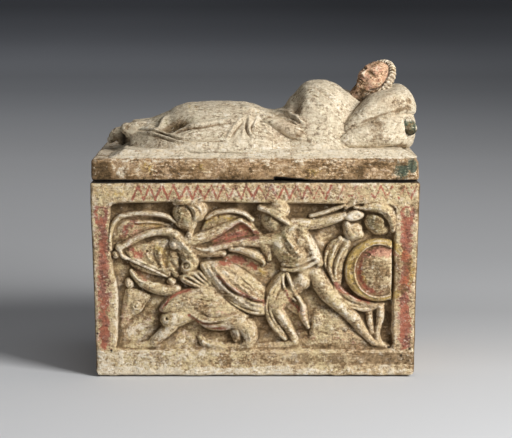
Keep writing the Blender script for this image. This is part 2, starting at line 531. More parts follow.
reliefSpecs["left_lower_forearm"] = {
    "limbs": [(415,705,4,12, 450,700,5.2,13.5, 485,675,5.6,14, 512,648,5,13, 525,625,3.8,11),
        (520,635,3,11.5, 532,605,2.2,9.5, 526,585,1.8,8)],
    "ridges": [(1.3, 1, 430,718, 460,712, 495,682, 518,652)],
    "grooves": [(1, 0.9, 440,690, 470,668, 500,635), (0.6, 0.9, 512,625, 525,612), (0.6, 0.8, 505,635,
        520,622)],
}
reliefSpecs["hero_head"] = withFace({
    "limbs": [(518,985,4.2,14.5, 550,962,5,17, 585,925,5.2,18, 622,873,4.2,16)],
    "mounds": [(580,965, 13.5, 13, 17.5, 40, 0.5), (585,1005, 9.5, 7.5, 17, 0, 0.5),
        (562,905, 12.5, 13.5, 14, 35, 0.55), (565,860, 8, 7, 11, 30, 0.55)],
    "ridges": [(1.2, 1.8, 515,995, 550,985, 585,952, 622,895), (1.2, 1, 565,1000, 588,975, 607,945),
        (1.4, 0.8, 630,870, 600,850, 570,835)],
    "grooves": [(1.5, 2.4, 520,962, 550,938, 585,897, 618,862), (1, 1.4, 540,995, 575,965, 605,918),
        (1, 0.8, 575,1010, 597,985)],
}, 566, 905, 30, -4.5, 0.82)
reliefSpecs["hero_raised_arm"] = {
    "limbs": [(635,865,8.5,16, 675,868,7.4,15.5, 715,872,6.4,15, 755,893,6,15, 790,915,5.6,15,
        815,930,5,14.5)],
    "ridges": [(1.5, 1.3, 620,895, 680,898, 730,912, 780,945, 810,965)],
    "grooves": [(1.4, 0.8, 690,850, 740,865, 790,895), (1.2, 0.8, 700,905, 705,870), (1, 1.4, 803,965,
        810,920)],
}
reliefSpecs["beam"] = {
    "limbs": [(695,925,2.8,9, 735,945,3,11, 775,972,3,13, 815,1005,2.8,15)],
    "ridges": [(0.9, 1, 700,937, 740,957, 800,1003)],
}
reliefSpecs["hand_on_band"] = {
    "limbs": [(820,990,3.4,15, 845,1020,4.8,16, 865,1040,4.4,15.5, 885,1050,3.2,14.5), (850,990,3.2,16,
        875,985,3.2,15.5, 888,1010,3,15)],
    "sheets": [(15.5, 4, 0, 0, 0, 808,915, 828,965, 858,978, 886,945, 875,905, 835,885)],
    "ridges": [(1.6, 1.2, 815,922, 845,960, 878,952), (1.1, 1.2, 825,1020, 845,1045, 865,1060)],
    "grooves": [(0.8, 2, 838,985, 855,1005, 850,1030), (0.8, 2, 862,985, 872,1012, 866,1035),
        (1, 2.2, 815,985, 850,982, 885,970), (0.7, 0.8, 850,965, 853,930)],
    "softness": 0.8,
}
reliefSpecs["right_arm"] = {
    "limbs": [(822,885,5,12, 828,840,6.6,12.5, 840,795,7,12.5)],
    "mounds": [(850,835, 9, 8.5, 13, 20, 0.6), (862,800, 7, 6, 12, 0, 0.6)],
    "ridges": [(1.6, 1, 852,870, 868,842, 872,810)],
    "grooves": [(1.2, 1.2, 832,855, 845,820, 860,800)],
    "softness": 2.5,
}
reliefSpecs["right_head"] = withFace({
    "limbs": [(885,985,4.2,15.5, 912,992,6.8,17.5, 945,980,8.4,18, 968,950,8,17.5, 982,900,6.2,16,
        986,835,4,13.5)],
    "mounds": [(924,900, 12.5, 14.5, 15, 14, 0.55), (940,840, 11, 8, 11.5, 0, 0.6)],
    "ridges": [(1.1, 2, 932,945, 955,925, 972,885), (1, 2, 945,912, 958,885, 968,850), (1, 1.4, 915,955,
        935,958, 952,945), (1.4, 1.2, 905,1005, 940,1005, 968,972)],
    "grooves": [(1.8, 3.6, 895,945, 922,948, 945,930, 958,895, 962,850), (0.9, 1.2, 900,1005, 935,1000,
        965,972, 980,930), (0.8, 1.8, 948,930, 965,890), (0.7, 1.2, 930,955, 945,940)],
    "softness": 1.8,
}, 926, 905, 14, -3, 0.85)
reliefSpecs["right_leg"] = {
    "limbs": [(944,295,5.2,11, 944,235,5,11.5, 936,165,4.4,10.5, 932,100,4.2,9.5, 945,50,3.6,8),
        (905,265,4.4,8, 908,200,4.6,8.5, 916,130,4.2,8)],
    "ridges": [(1.1, 1, 952,280, 952,220, 942,150)],
    "grooves": [(1, 1.4, 926,270, 926,200, 925,130)],
}


# Shield: half widths and half heights of its three ovals; pits are place, radius, depth and power
shield = {"place": (938, 556), "outer": (37, 33.5), "ring": (26, 28), "dome": (22.5, 25), "fillet": 3.0,
          "rimHeight": 12.5, "rimFall": 1.2, "ringHeight": 9.4, "domeFoot": 8.8, "domeRise": 6.4,
          "fadeFrom": 981, "cutAt": 987, "pits": [(-11.5, 17, 2.0, 2.6, 4), (-8, 14.5, 2.4, 1.2, 2)]}
shieldPlace = atField(shield["place"])[0]
# inner edge of the raised frame round the relief
openingRows = (-4,560, -12,750, -10,930, 0,1010, 80,1022, 200,1026, 350,1026, 500,1018, 650,1016,
               800,1012, 920,1006, 986,996, 993,900, 991,700, 992,500, 987,300, 984,150, 978,20, 850,4,
               600,0, 350,0, 150,4, 20,12, 10,80, 12,200, 13,350, 6,470)


def shieldForm():
    # an oval dish seen from outside: flat rim, fillet, sunk ring and domed middle, by distance from its place
    dx, dz = gridX - shieldPlace[0], gridZ - shieldPlace[1]
    r = np.hypot(dx, dz)
    outer, ring, dome = (r / np.maximum(np.hypot(dx / rx, dz / rz), 1e-9)
                         for rx, rz in (shield[key] for key in ("outer", "ring", "dome")))
    rounded = np.sqrt(1 - (1 - clipped((outer - r) / shield["fillet"])) ** 2)
    form = (shield["rimHeight"] - shield["rimFall"] * (r - ring) / (outer - ring)) * rounded
    form = np.where(r < outer, form, np.maximum(-(r - outer) * 2.5, chest["lowest"]))
    form += 1.5 * bell((r - ring) / 1.2)
    sunk = clipped((ring - r) / 1.6)
    form = form * (1 - sunk) + shield["ringHeight"] * sunk
    inner = clipped(1 - (r / dome) ** 2)
    bulge = shield["domeFoot"] + shield["domeRise"] * inner ** 0.7
    form = np.where(r < ring, np.maximum(form, bulge), form)
    form += 0.5 * bell((r - 0.5 * (outer + ring)) / 0.8) * (r < outer)
    for x, z, radius, depth, power in shield["pits"]:
        form -= depth * np.exp(-(np.hypot(dx - x, dz - z) / radius) ** power)
    beyond = clipped((gridX - atField((shield["fadeFrom"], 0))[0, 0]) / 1.6)
    return form * (1 - beyond) + np.minimum(form, chest["lowest"]) * beyond




def buildRelief():
    # every part's own form, the frame and the ground; shared is the soft top of them all less their top,
    # plus wear, less a quarter circle at the outer corners
    forms = {name: reliefForm(spec) for name, spec in reliefSpecs.items()}
    forms["shield"] = shieldForm()
    opening = outlineDepth(smoothRows(atField(openingRows), 3, closed=True), (slice(None), slice(None)))
    step = eased((opening + 1.6) / 5.4)
    aboveFoot = np.maximum(gridZ - chest["plinthHeight"], 0)
    ledge = (chest["ledge"] + frontLumps((1.5, 16, 12))) * np.exp(-aboveFoot / chest["ledgeFade"])
    forms["ground"] = frontLumps((0.7, 14, 2), (0.35, 5, 3)) + 0.6 + ledge
    forms["frame"] = chest["recess"] - (chest["recess"] + 5) * step
    edgeDrop = np.minimum.reduce([halfWidthAt(gridZ) - np.abs(gridX), gridZ, chest["height"] - gridZ])
    rounded = clipped(1 - (edgeDrop + frontLumps((0.8, 9, 5))) / chest["wear"])
    corner = chest["wear"] * (1 - np.sqrt(clipped(1 - rounded ** 2)))
    layers = list(forms.values())
    top = np.maximum.reduce(layers)
    filled = blurred(top, 40) - chest["fillBelow"] - frontLumps((2.0, 26, 14))
    worn = frontLumps((0.36, 3.4, 7), (0.20, 1.6, 8), (0.60, 8, 9), (0.55, 21, 10))
    worn -= 0.45 * clipped((frontLumps((1, 3.1, 17), depth=0.4) - 0.5) / 0.3)
    shared = softMax(layers + [filled], chest["softness"]) - top + worn - corner
    return forms, shared, top + shared, opening


def eased(share):
    # smooth step from 0 to 1
    share = clipped(share)
    return share * share * (3 - 2 * share)


# Meshes


def newPiece(name, points, groups, body, fields):
    # points in millimetres; a group is an array of polygons, whether they are smooth, and normals or None
    mesh = bpy.data.meshes.new(name + "_surface")
    corners = np.concatenate([faces.ravel() for faces, _, _ in groups])
    counts = np.concatenate([np.full(len(faces), faces.shape[1]) for faces, _, _ in groups])
    smooth = np.concatenate([np.full(len(faces), isSmooth) for faces, isSmooth, _ in groups])
    mesh.vertices.add(len(points))
    mesh.vertices.foreach_set("co", (np.asarray(points) * mm).astype(np.float32).ravel())
    mesh.loops.add(len(corners))
    mesh.loops.foreach_set("vertex_index", corners.astype(np.int32))
    mesh.polygons.add(len(counts))
    mesh.polygons.foreach_set("loop_start", np.concatenate([[0], np.cumsum(counts)[:-1]]).astype(np.int32))
    mesh.polygons.foreach_set("use_smooth", smooth)
    for key, values in fields.items():
        layer = mesh.attributes.new(key, "FLOAT", "POINT")
        layer.data.foreach_set("value", np.asarray(values, np.float32).ravel())
    mesh.update(calc_edges=True)
    if any(normals is not None for _, _, normals in groups):
        cornerNormals = [normals[faces.ravel()] if normals is not None else np.zeros((faces.size, 3))
                         for faces, _, normals in groups]
        mesh.normals_split_custom_set(np.concatenate(cornerNormals).tolist())
    piece = bpy.data.objects.new(name + "_surface", mesh)
    bpy.context.scene.collection.objects.link(piece)
    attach(piece, body)
    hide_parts(name)
    piece.data.materials.append(finishes[slotOf[name]])


def handmade(points):
    # slow wander of every surface, as of slabs cut and smoothed by hand; nothing moves down at the underside
    wander = np.column_stack([lumps(points, (0.55, 62, seed), (0.28, 17, seed + 3)) for seed in (21, 31, 41)])
    wander[:, 2] *= 0.6 * clipped(points[:, 2] / 12)
    return wornCorners(points + wander)


def wornCorners(points):
    # rounds the chest's outline seen from the front: near each end the lowest and highest points move inwards
    x, y, z = points.T
    near = clipped((np.abs(x) - halfWidthAt(z)) / chest["wornReach"] + 1) ** 2
    chance = 1 + lumps(points, (0.35, 24, 51))
    drop = 0
    for radius, away in ((chest["wornFoot"], z), (chest["wornRim"], chest["height"] - z)):
        share = clipped(1 - away / (radius * chance))
        drop = drop + radius * (1 - np.sqrt(1 - share ** 2))
    points[:, 0] -= np.sign(x) * near * drop
    return points


def withoutPinches(mask):
    # fills one block wherever two blocks meet at a corner only
    while True:
        a, b, c, d = mask[:-1, :-1], mask[:-1, 1:], mask[1:, :-1], mask[1:, 1:]
        rising, falling = a & d & ~b & ~c, b & c & ~a & ~d
        if not (rising.any() or falling.any()):
            return mask
        mask = mask.copy()
        mask[:-1, 1:] |= rising
        mask[:-1, :-1] |= falling


def blocksWhere(inside):
    # blocks of cells that have any grid point of the mask at a corner
    n = chest["block"]
    cells = inside[:-1, :-1] | inside[:-1, 1:] | inside[1:, :-1] | inside[1:, 1:]
    return cells.reshape(chest["cellsUp"] // n, n, chest["cellsAlong"] // n, n).any(axis=(1, 3))


def blockSolid(mask, top, x, z, backY, n):
    # the grid's surface over the marked blocks, one quad behind each block, and walls round the border
    cells = np.repeat(np.repeat(mask, n, axis=0), n, axis=1)
    used = np.zeros(x.shape, bool)
    cornerUsed = np.zeros((mask.shape[0] + 1, mask.shape[1] + 1), bool)
    for dj in (0, 1):
        for di in (0, 1):
            used[dj:dj + cells.shape[0], di:di + cells.shape[1]] |= cells
            cornerUsed[dj:dj + mask.shape[0], di:di + mask.shape[1]] |= mask
    front = np.full(x.shape, -1)
    front[used] = np.arange(used.sum())
    back = np.full(cornerUsed.shape, -1)
    back[cornerUsed] = np.arange(cornerUsed.sum()) + used.sum()
    behindX, behindZ = x[::n, ::n][cornerUsed], z[::n, ::n][cornerUsed]
    points = np.vstack([np.column_stack([x[used], chest["fieldY"] - top[used], z[used]]),
                        np.column_stack([behindX, 0 * behindX + backY, behindZ])])
    j, i = np.nonzero(cells)
    topFaces = np.stack([front[j, i], front[j, i + 1], front[j + 1, i + 1], front[j + 1, i]], axis=-1)
    j, i = np.nonzero(mask)
    backFaces = np.stack([back[j, i], back[j + 1, i], back[j + 1, i + 1], back[j, i + 1]], axis=-1)
    padded = np.pad(mask, 1)
    k = np.arange(n + 1)
    walls = []
    for dj, di in ((-1, 0), (0, 1), (1, 0), (0, -1)):
        beside = padded[1 + dj:1 + dj + mask.shape[0], 1 + di:1 + di + mask.shape[1]]
        j, i = (index[:, None] for index in np.nonzero(mask & ~beside))
        along = k if dj > 0 or di < 0 else k[::-1]
        if di == 0:
            j = j + (dj > 0)
            run, ends = front[j * n, i * n + along], [back[j, i + 1], back[j, i]]
        else:
            i = i + (di > 0)
            run, ends = front[j * n + along, i * n], [back[j + 1, i], back[j, i]]
        walls.append(np.hstack([run] + (ends if dj > 0 or di < 0 else ends[::-1])))
    return points, topFaces, backFaces, np.vstack(walls), used, cornerUsed.sum()


def gridPiece(name, mask, top, backY, coarse=1):
    # a solid of the front grid with the relief's shared fields; coarse takes every second line
    pick = (slice(None, None, coarse), slice(None, None, coarse))
    points, topFaces, backFaces, walls, used, backs = blockSolid(
        withoutPinches(mask), top[pick], gridX[pick], gridZ[pick], backY, chest["block"] // coarse)
    fields = {key: np.concatenate([values[pick][used], np.zeros(backs)])
              for key, values in frontFields.items()}
    normals = np.vstack([frontNormals[pick][used], np.tile([0.0, 1.0, 0.0], (backs, 1))])
    groups = [(topFaces, True, normals), (backFaces, False, None), (walls, False, None)]
    newPiece(name, handmade(points), groups, "chest", fields)


def ringPiece(name, grid, fields):
    # a closed skin of rings on the lid, each end closed by a fan to its middle
    rings, around = grid.shape[:2]
    points = np.vstack([grid.reshape(-1, 3), grid[0].mean(axis=0)[None], grid[-1].mean(axis=0)[None]])
    i, j = np.meshgrid(np.arange(rings - 1), np.arange(around), indexing="ij")
    a, b = i * around + j, i * around + (j + 1) % around
    quads = np.stack([a, b, b + around, a + around], axis=-1).reshape(-1, 4)
    ring, after, total = np.arange(around), (np.arange(around) + 1) % around, rings * around
    last = total - around
    fans = np.vstack([np.stack([0 * ring + total, after, ring], axis=-1),
                      np.stack([0 * ring + total + 1, last + ring, last + after], axis=-1)])
    if enclosedVolume(points, [quads, fans]) < 0:
        quads, fans = quads[:, ::-1], fans[:, ::-1]
    skin = {key: np.concatenate([values.ravel(), [values[0].mean(), values[-1].mean()]])
            for key, values in fields.items()}
    newPiece(name, points, [(quads, True, None), (fans, True, None)], "lid", skin)


def enclosedVolume(points, faceArrays):
    # sum of the pyramids from the origin to each triangle
    volume = 0.0
    for faces in faceArrays:
        for k in range(1, faces.shape[1] - 1):
            a, b, c = points[faces[:, 0]], points[faces[:, k]], points[faces[:, k + 1]]
            volume += np.einsum("ij,ij->i", a, np.cross(b, c)).sum() / 6
    return volume


def ringNormals(grid):
    # cross product of the steps along and around, outwards from each ring's middle
    along = np.gradient(grid, axis=0)
    around = 0.5 * (np.roll(grid, -1, axis=1) - np.roll(grid, 1, axis=1))
    normal = np.cross(around, along)
    normal /= np.maximum(np.linalg.norm(normal, axis=2, keepdims=True), 1e-9)
    outward = np.einsum("ijk,ijk->ij", normal, grid - grid.mean(axis=1, keepdims=True)).sum()
    return normal if outward > 0 else -normal


def slabLattice(size, step, radius):
    # stations along one side of a slab: close together near both ends, where the edges are rounded
    count = max(2, int(round((size - 2 * radius) / step)))
    near = radius * (1 - np.cos(np.linspace(0, math.pi / 2, 5)))
    middle = np.linspace(radius, size - radius, count + 1)
    return np.concatenate([near[:-1], middle, size - near[:-1][::-1]])


def slabPiece(name, low, high, radius, place, body, fieldsFor, lines=None):
    # a slab with rounded edges: a box lattice drawn onto a smaller box's offset, then placed by a function
    low, high = np.array(low, float), np.array(high, float)
    lines = lines or [slabLattice(size, chest["wallStep"], radius) for size in high - low]
    edge = np.zeros([len(line) for line in lines], bool)
    edge[[0, -1]] = edge[:, [0, -1]] = edge[:, :, [0, -1]] = True
    lattice = np.full(edge.shape, -1)
    lattice[edge] = np.arange(edge.sum())
    points = low + np.column_stack([line[index] for line, index in zip(lines, np.nonzero(edge))])
    quads = []
    for axis in range(3):
        for end in (0, -1):
            face = np.take(lattice, end, axis=axis)
            quad = np.stack([face[:-1, :-1], face[1:, :-1], face[1:, 1:], face[:-1, 1:]], axis=-1)
            quad = quad.reshape(-1, 4)
            quads.append(quad if (end == -1) == (axis != 1) else quad[:, ::-1])
    quads = np.vstack(quads)
    inner = np.clip(points, low + radius, high - radius)
    away = points - inner
    away = away / np.maximum(np.linalg.norm(away, axis=1, keepdims=True), 1e-9)
    points = place(inner + radius * away, away)
    if enclosedVolume(points, [quads]) < 0:
        quads = quads[:, ::-1]
    newPiece(name, points, [(quads, True, None)], body, fieldsFor(points))


# Finishes: fired clay under a worn pale slip, with earth in the hollows and remains of paint


class Value:
    # a number from a node; sums, differences and products of it are math nodes
    def __init__(self, socket):
        self.socket = socket

    def calc(self, operation, a, b):
        node = addNode(self.socket.id_data, "ShaderNodeMath", {"operation": operation}, i0=a, i1=b)
        return Value(node.outputs[0])

    def __add__(self, other):
        return self.calc("ADD", self, other)

    def __sub__(self, other):
        return self.calc("SUBTRACT", self, other)

    def __rsub__(self, other):
        return self.calc("SUBTRACT", other, self)

    def __mul__(self, other):
        return self.calc("MULTIPLY", self, other)

    def stepped(self, low, high):
        # smooth step from 0 at low to 1 at high; low may be the larger
        node = addNode(self.socket.id_data, "ShaderNodeMapRange", {"interpolation_type": "SMOOTHSTEP"},
                       i0=self, i1=low, i2=high)
        return Value(node.outputs["Result"])


def addNode(tree, kind, settings=None, **inputs):
    # i0, i1 and so on are inputs by number
    node = tree.nodes.new(kind)
    for key, value in (settings or {}).items():
        setattr(node, key, value)
    for key, value in inputs.items():
        socket = node.inputs[int(key[1:])] if key[1:].isdigit() else node.inputs[key]
        value = value.socket if isinstance(value, Value) else value
        if isinstance(value, bpy.types.NodeSocket):
            tree.links.new(value, socket)
        else:
            socket.default_value = value
    return node


def noiseValue(tree, place, scale, detail, rough, seed):
    # fractal noise of object coordinates, scale per metre, about 0.3 to 0.7
    node = addNode(tree, "ShaderNodeTexNoise", {"noise_dimensions": "4D"}, Vector=place, W=seed, Scale=scale,
                   Detail=detail, Roughness=rough)
    return Value(node.outputs["Fac"])


def mixed(tree, share, a, b, blend="MIX"):
    # the share of colour b over colour a; a word is a pigment's name
    a, b = ((*pigments[c], 1.0) if isinstance(c, str) else c for c in (a, b))
    settings = {"data_type": "RGBA", "blend_type": blend}
    return addNode(tree, "ShaderNodeMix", settings, i0=share, i6=a, i7=b).outputs[2]


def attributeValue(tree, name):
    # a mesh attribute, 0 where a mesh has none
    return Value(addNode(tree, "ShaderNodeAttribute", {"attribute_name": name}).outputs["Fac"])


def newMaterial(name, specular):
    # a tree with the shader and its output, and the object's own coordinates
    material = bpy.data.materials.new(name)
    material.use_nodes = True
    tree = material.node_tree
    tree.nodes.clear()
    shader = addNode(tree, "ShaderNodeBsdfPrincipled", None, **{"Specular IOR Level": specular})
    addNode(tree, "ShaderNodeOutputMaterial", None, Surface=shader.outputs["BSDF"])
    return material, tree, shader, addNode(tree, "ShaderNodeTexCoord").outputs["Object"]


pigments = {
    "slip": (0.600, 0.445, 0.265), "paleSlip": (0.780, 0.680, 0.520), "cream": (0.640, 0.520, 0.300),
    "tan": (0.400, 0.262, 0.140), "brown": (0.190, 0.112, 0.049), "earth": (0.072, 0.044, 0.018),
    "ash": (0.625, 0.535, 0.390), "skin": (0.700, 0.435, 0.278),
    "olive": (0.235, 0.200, 0.090), "red": (0.350, 0.085, 0.052), "pink": (0.540, 0.270, 0.185),
    "ochre": (0.480, 0.320, 0.085), "green": (0.062, 0.096, 0.068), "orange": (0.520, 0.270, 0.115),
    "plum": (0.215, 0.075, 0.060), "soot": (0.020, 0.015, 0.011),
}


def clayFinish(name, slip="slip", worn="tan", wornShare=0.5, dirt=1.0, grain=1.0, tint=None, tintShare=0.0,
               pale=0.65, speckle=1.0):
    # slip, greyer where the bleach attribute says, worn through to clay by two noises; flecks of both; dark
    # and pale speckles; paint where its attribute says, broken up by noise; earth in the hollows and pale
    # crests by the cavity attribute; dark stains; last, the fine noises laid over everything
    material, tree, shader, place = newMaterial(name, 0.25)
    drawn = addNode(tree, "ShaderNodeVectorMath", {"operation": "MULTIPLY"}, i0=place, i1=(0.36, 1.0, 0.9))
    drawn = drawn.outputs[0]
    broad, patch, blotch, fine, mottle, streak, grit = (noiseValue(tree, *settings) for settings in (
        (place, 17, 4, 0.60, 1.0), (place, 58, 7, 0.70, 2.0), (place, 120, 6, 0.72, 7.0),
        (place, 250, 5, 0.75, 3.0), (place, 400, 3, 0.7, 5.0), (drawn, 430, 3, 0.7, 6.0),
        (place, 760, 3, 0.7, 4.0)))
    bleach, cavity = attributeValue(tree, "bleach"), attributeValue(tree, "cavity")
    hollow, crest = cavity.calc("MAXIMUM", cavity, 0.0), cavity.calc("MINIMUM", cavity, 0.0) * -1.0
    dusty = patch.stepped(0.44, 0.58) * 0.64 + 0.36
    wear = patch + (fine - 0.5) * 0.9 - crest * 0.12
    wornAt = 0.66 - 0.28 * wornShare
    soil = hollow * (1.1 * dirt) + (patch - 0.5) * 1.5 + (fine - 0.5) * 1.1
    rubbed = crest * 0.66 + (blotch - 0.5) * 2.0 + (fine - 0.5) * 1.2
    layers = [(broad.stepped(0.40, 0.60), "cream" if slip == "slip" else slip), (bleach, "ash"),
              (blotch.stepped(0.50, 0.60) * pale, "paleSlip"),
              (wear.stepped(wornAt, wornAt + 0.09) * (0.85 - bleach * 0.62), worn)]
    if tint:
        layers.append((blotch.stepped(0.62 - 0.3 * tintShare, 0.68) * 0.85, tint))
    layers += [(broad.stepped(0.50, 0.66) * 0.18, "orange"),
               (fine.stepped(0.470, 0.395) * (0.72 * dirt - bleach * 0.42), "brown")]
    for value, low, high, share, pigment in (
            (streak, 0.48, 0.39, 0.46, "brown"), (mottle, 0.47, 0.38, 0.42, "brown"),
            (mottle, 0.39, 0.33, 0.60, "earth"), (streak, 0.54, 0.62, 0.45, "paleSlip")):
        layers.append((value.stepped(low, high) * dusty * (share * speckle), pigment))
    redShade = mixed(tree, patch.stepped(0.45, 0.58), "red", "plum")
    for key, pigment, strength in (("oliveStain", "olive", 0.75), ("ochrePaint", "ochre", 0.85),
                                   ("pinkPaint", "pink", 0.85), ("redPaint", redShade, 0.86),
                                   ("palePaint", "paleSlip", 0.85), ("greenStain", "green", 0.9)):
        mask = attributeValue(tree, key)
        broken = mask + (blotch - 0.5) * 2.3 + (fine - 0.5) * 3.4
        layers.append((broken.stepped(0.38, 0.80) * mask.stepped(0.02, 0.22) * strength, pigment))
    layers += [(soil.stepped(0.18, 0.52) * 0.72, "brown"), (soil.stepped(0.52, 1.00) * 0.75, "earth"),
               (rubbed.stepped(0.18, 0.42) * 0.72, "paleSlip"),
               (grit.stepped(0.57, 0.64) * patch.stepped(0.40, 0.55) * (0.62 * dirt), "brown"),
               (attributeValue(tree, "darkStain") * fine.stepped(0.22, 0.46), "soot")]
    colour = slip
    for share, pigment in layers:
        colour = mixed(tree, share, colour, pigment)
    for value, share in ((streak, 0.36), (mottle, 0.30)):
        colour = mixed(tree, dusty * (share * speckle), colour, value.stepped(0.36, 0.64).socket, "OVERLAY")
    height = fine * 0.50 + streak * 0.60 + mottle * 0.35 + blotch * 0.65 - grit.stepped(0.57, 0.68) * 0.16
    bump = addNode(tree, "ShaderNodeBump", None, Height=height, Strength=0.9 * grain, Distance=0.0027)
    tree.links.new(colour, shader.inputs["Base Color"])
    tree.links.new((fine * 0.18 + 0.80).socket, shader.inputs["Roughness"])
    tree.links.new(bump.outputs["Normal"], shader.inputs["Normal"])
    return material


finishes = {
    "slipped_clay": clayFinish("slippedClay", wornShare=0.55, speckle=0.88),
    "bare_clay": clayFinish("bareClay", slip="tan", worn="brown", tint="orange", tintShare=0.35, pale=0.38,
                            speckle=1.25),
    "inner_clay": clayFinish("innerClay", slip="tan", worn="brown", dirt=0.7, grain=1.4),
    "white_slip": clayFinish("whiteSlip", slip="paleSlip", worn="slip", wornShare=0.4, dirt=1.1),
    "red_ochre_paint": clayFinish("redOchrePaint", speckle=0.88),
    "yellow_ochre_paint": clayFinish("yellowOchrePaint", wornShare=0.6, tint="ochre", tintShare=0.12),
    "flesh_paint": clayFinish("fleshPaint", slip="skin", worn="brown", dirt=1.6, tint="orange", tintShare=0.2,
                              pale=0.6, speckle=1.3),
    "green_stained_clay": clayFinish("greenStainedClay", slip="olive", worn="green", wornShare=0.7,
                                     tint="slip", tintShare=0.4),
}
slotOf = {part["node"]: part["material_slot"] for part in frame["record"]["subparts"]}
print("finishes:", len(finishes))


# Chest front: its paint, the relief pieces, the frame round them and the panel behind

# strokes: width, strength, then places in thousandths of the field
paints = {
    "redPaint": [(6, 0.8, 45,790, 50,840, 75,880), (5, 0.8, 60,710, 75,670, 100,660), (5, 0.8, 85,550,
        105,500), (2.2, 1, 270,425, 215,385, 180,320, 165,270), (3.6, 0.9, 300,200, 350,165, 400,150), (2.6,
        0.8, 265,250, 300,200), (5.5, 1.1, 360,755, 400,800, 440,860, 475,830, 500,800), (5.5, 1, 400,770,
        460,800, 500,785), (6, 0.9, 380,610, 440,630, 500,580), (3.4, 0.95, 370,520, 420,440, 470,385,
        530,345), (2.4, 0.9, 610,420, 625,340, 660,280), (3.4, 1, 785,460, 820,400, 900,340), (2.2, 0.5,
        100,940, 170,935), (2, 0.5, 355,930, 420,955), (2.4, 0.5, 235,490, 245,430)],
    "ochrePaint": [(7, 0.45, -50,1087, 40,1087), (4.5, 0.8, 100,865, 160,870), (5, 0.7, 150,710, 190,660,
        185,600), (5, 0.7, 330,900, 380,920, 440,900), (3.5, 0.7, 500,600, 530,530), (5.5, 0.75, 880,680,
        865,570, 885,470), (4, 0.6, 770,700, 765,600), (5, 0.35, 560,470, 555,360)],
    "oliveStain": [(6, 0.7, 330,870, 380,900, 430,900), (4, 0.6, 500,580, 525,520), (11, 0.8, 590,780,
        600,700, 620,640), (9, 0.6, 240,940, 270,900), (8, 0.6, 550,930, 570,880), (9, 1, 915,940, 935,860),
        (11, 0.4, 930,600, 945,520), (8, 0.4, 260,700, 280,600), (6, 0.3, 730,460, 770,380)],
    "palePaint": [(6, 0.9, 200,740, 225,735), (4.5, 0.8, 220,240, 200,160, 160,80), (4.5, 0.7, 330,560,
        380,460, 440,360, 500,290), (3.5, 0.7, 585,270, 620,150), (6, 0.6, 580,760, 600,700), (6, 0.8,
        660,500, 670,480), (4, 0.6, 780,340, 840,250, 880,150), (6, 0.6, 400,160, 440,120), (7, 0.7,
        830,930, 860,920), (2.4, 0.9, 10,100, 12,500), (11, 0.6, 40,120, 120,140, 220,60, 320,30), (6, 0.9,
        700,600, 715,700, 700,780), (3.5, 0.7, 20,280, 20,420, 30,520), (5, 0.6, 660,900, 645,860)],
    "pinkPaint": [(8, 0.6, 60,800, 90,830, 120,850), (8, 0.4, 660,260, 650,200), (3.5, 0.7, 370,740,
        420,770, 480,790), (5, 0.7, 670,270, 675,220), (5, 0.4, 360,280, 420,250), (4, 0.5, 200,370,
        190,330), (9, 0.42, 30,280, 60,140, 130,200), (8, 0.4, 240,100, 320,60), (8, 0.42, 600,300, 630,180,
        700,60), (7, 0.35, 800,100, 860,40)],
}
bandPaint = {"start": -127.0, "end": 168.0, "pitch": 12.5, "low": 186.0, "high": 199.5, "stroke": 1.5}
pillarPaint = {"left": -157.6, "right": 156.4, "shaft": 6.8, "foot": 33.0, "top": 163.0, "capital": 3.0}


def steadyStroke(rows, width, strength):
    # a soft line of one strength from end to end
    return strength * crease(np.column_stack([rows, np.ones(len(rows))]), width)


def zigzagPaint():
    # a zigzag from end to end of the band, with a dot in every opening; brushed unevenly, paler to the right
    start, end, low, high, width = (bandPaint[key] for key in ("start", "end", "low", "high", "stroke"))
    starts = np.arange(start, end, bandPaint["pitch"] / 2)
    chance = np.random.default_rng(5).random((3, len(starts)))
    up = np.where(np.arange(len(starts)) % 2 == 0, low, high)
    rows = np.column_stack([starts + 1.6 * (chance[0] - 0.5), up + 1.2 * (chance[1] - 0.5),
                            (1.15 - 0.42 * (starts - start) / (end - start)) * (0.75 + 0.4 * chance[2])])
    total = 0
    for p, q in zip(rows[:-1], rows[1:]):
        total = np.maximum(total, p[2] * bell(nearSegment(gridX, gridZ, p, q)[0] / width))
    for x, z, strength in rows[1:-1]:
        middle = 0.5 * (low + high)
        dotZ = middle - (0.706 if z > middle else 0.85) * (z - middle)
        total = np.maximum(total, 0.8 * strength * bell(np.hypot(gridX - x, gridZ - dotZ) / 1.5))
    return total


def pillarStrokes():
    # a broad red shaft down each pilaster, and a capital of two red lobes under a red line
    strokes = []
    for middle, side in ((pillarPaint["left"], -1), (pillarPaint["right"], 1)):
        foot, top = (middle - side, pillarPaint["foot"]), (middle, pillarPaint["top"])
        strokes.append(([foot, (middle - side * 0.5, 90), top], pillarPaint["shaft"], 1.05))
        for lobe in (-4.8, 4.8):
            across = middle + side + lobe
            places = [(across - lobe * 0.4, 160), (across, 168), (across, 176)]
            strokes.append((places, pillarPaint["capital"], 1.0))
        strokes.append(([(middle - 6, 177.5), (middle + 7, 177.5)], 1.6, 0.8))
    return strokes


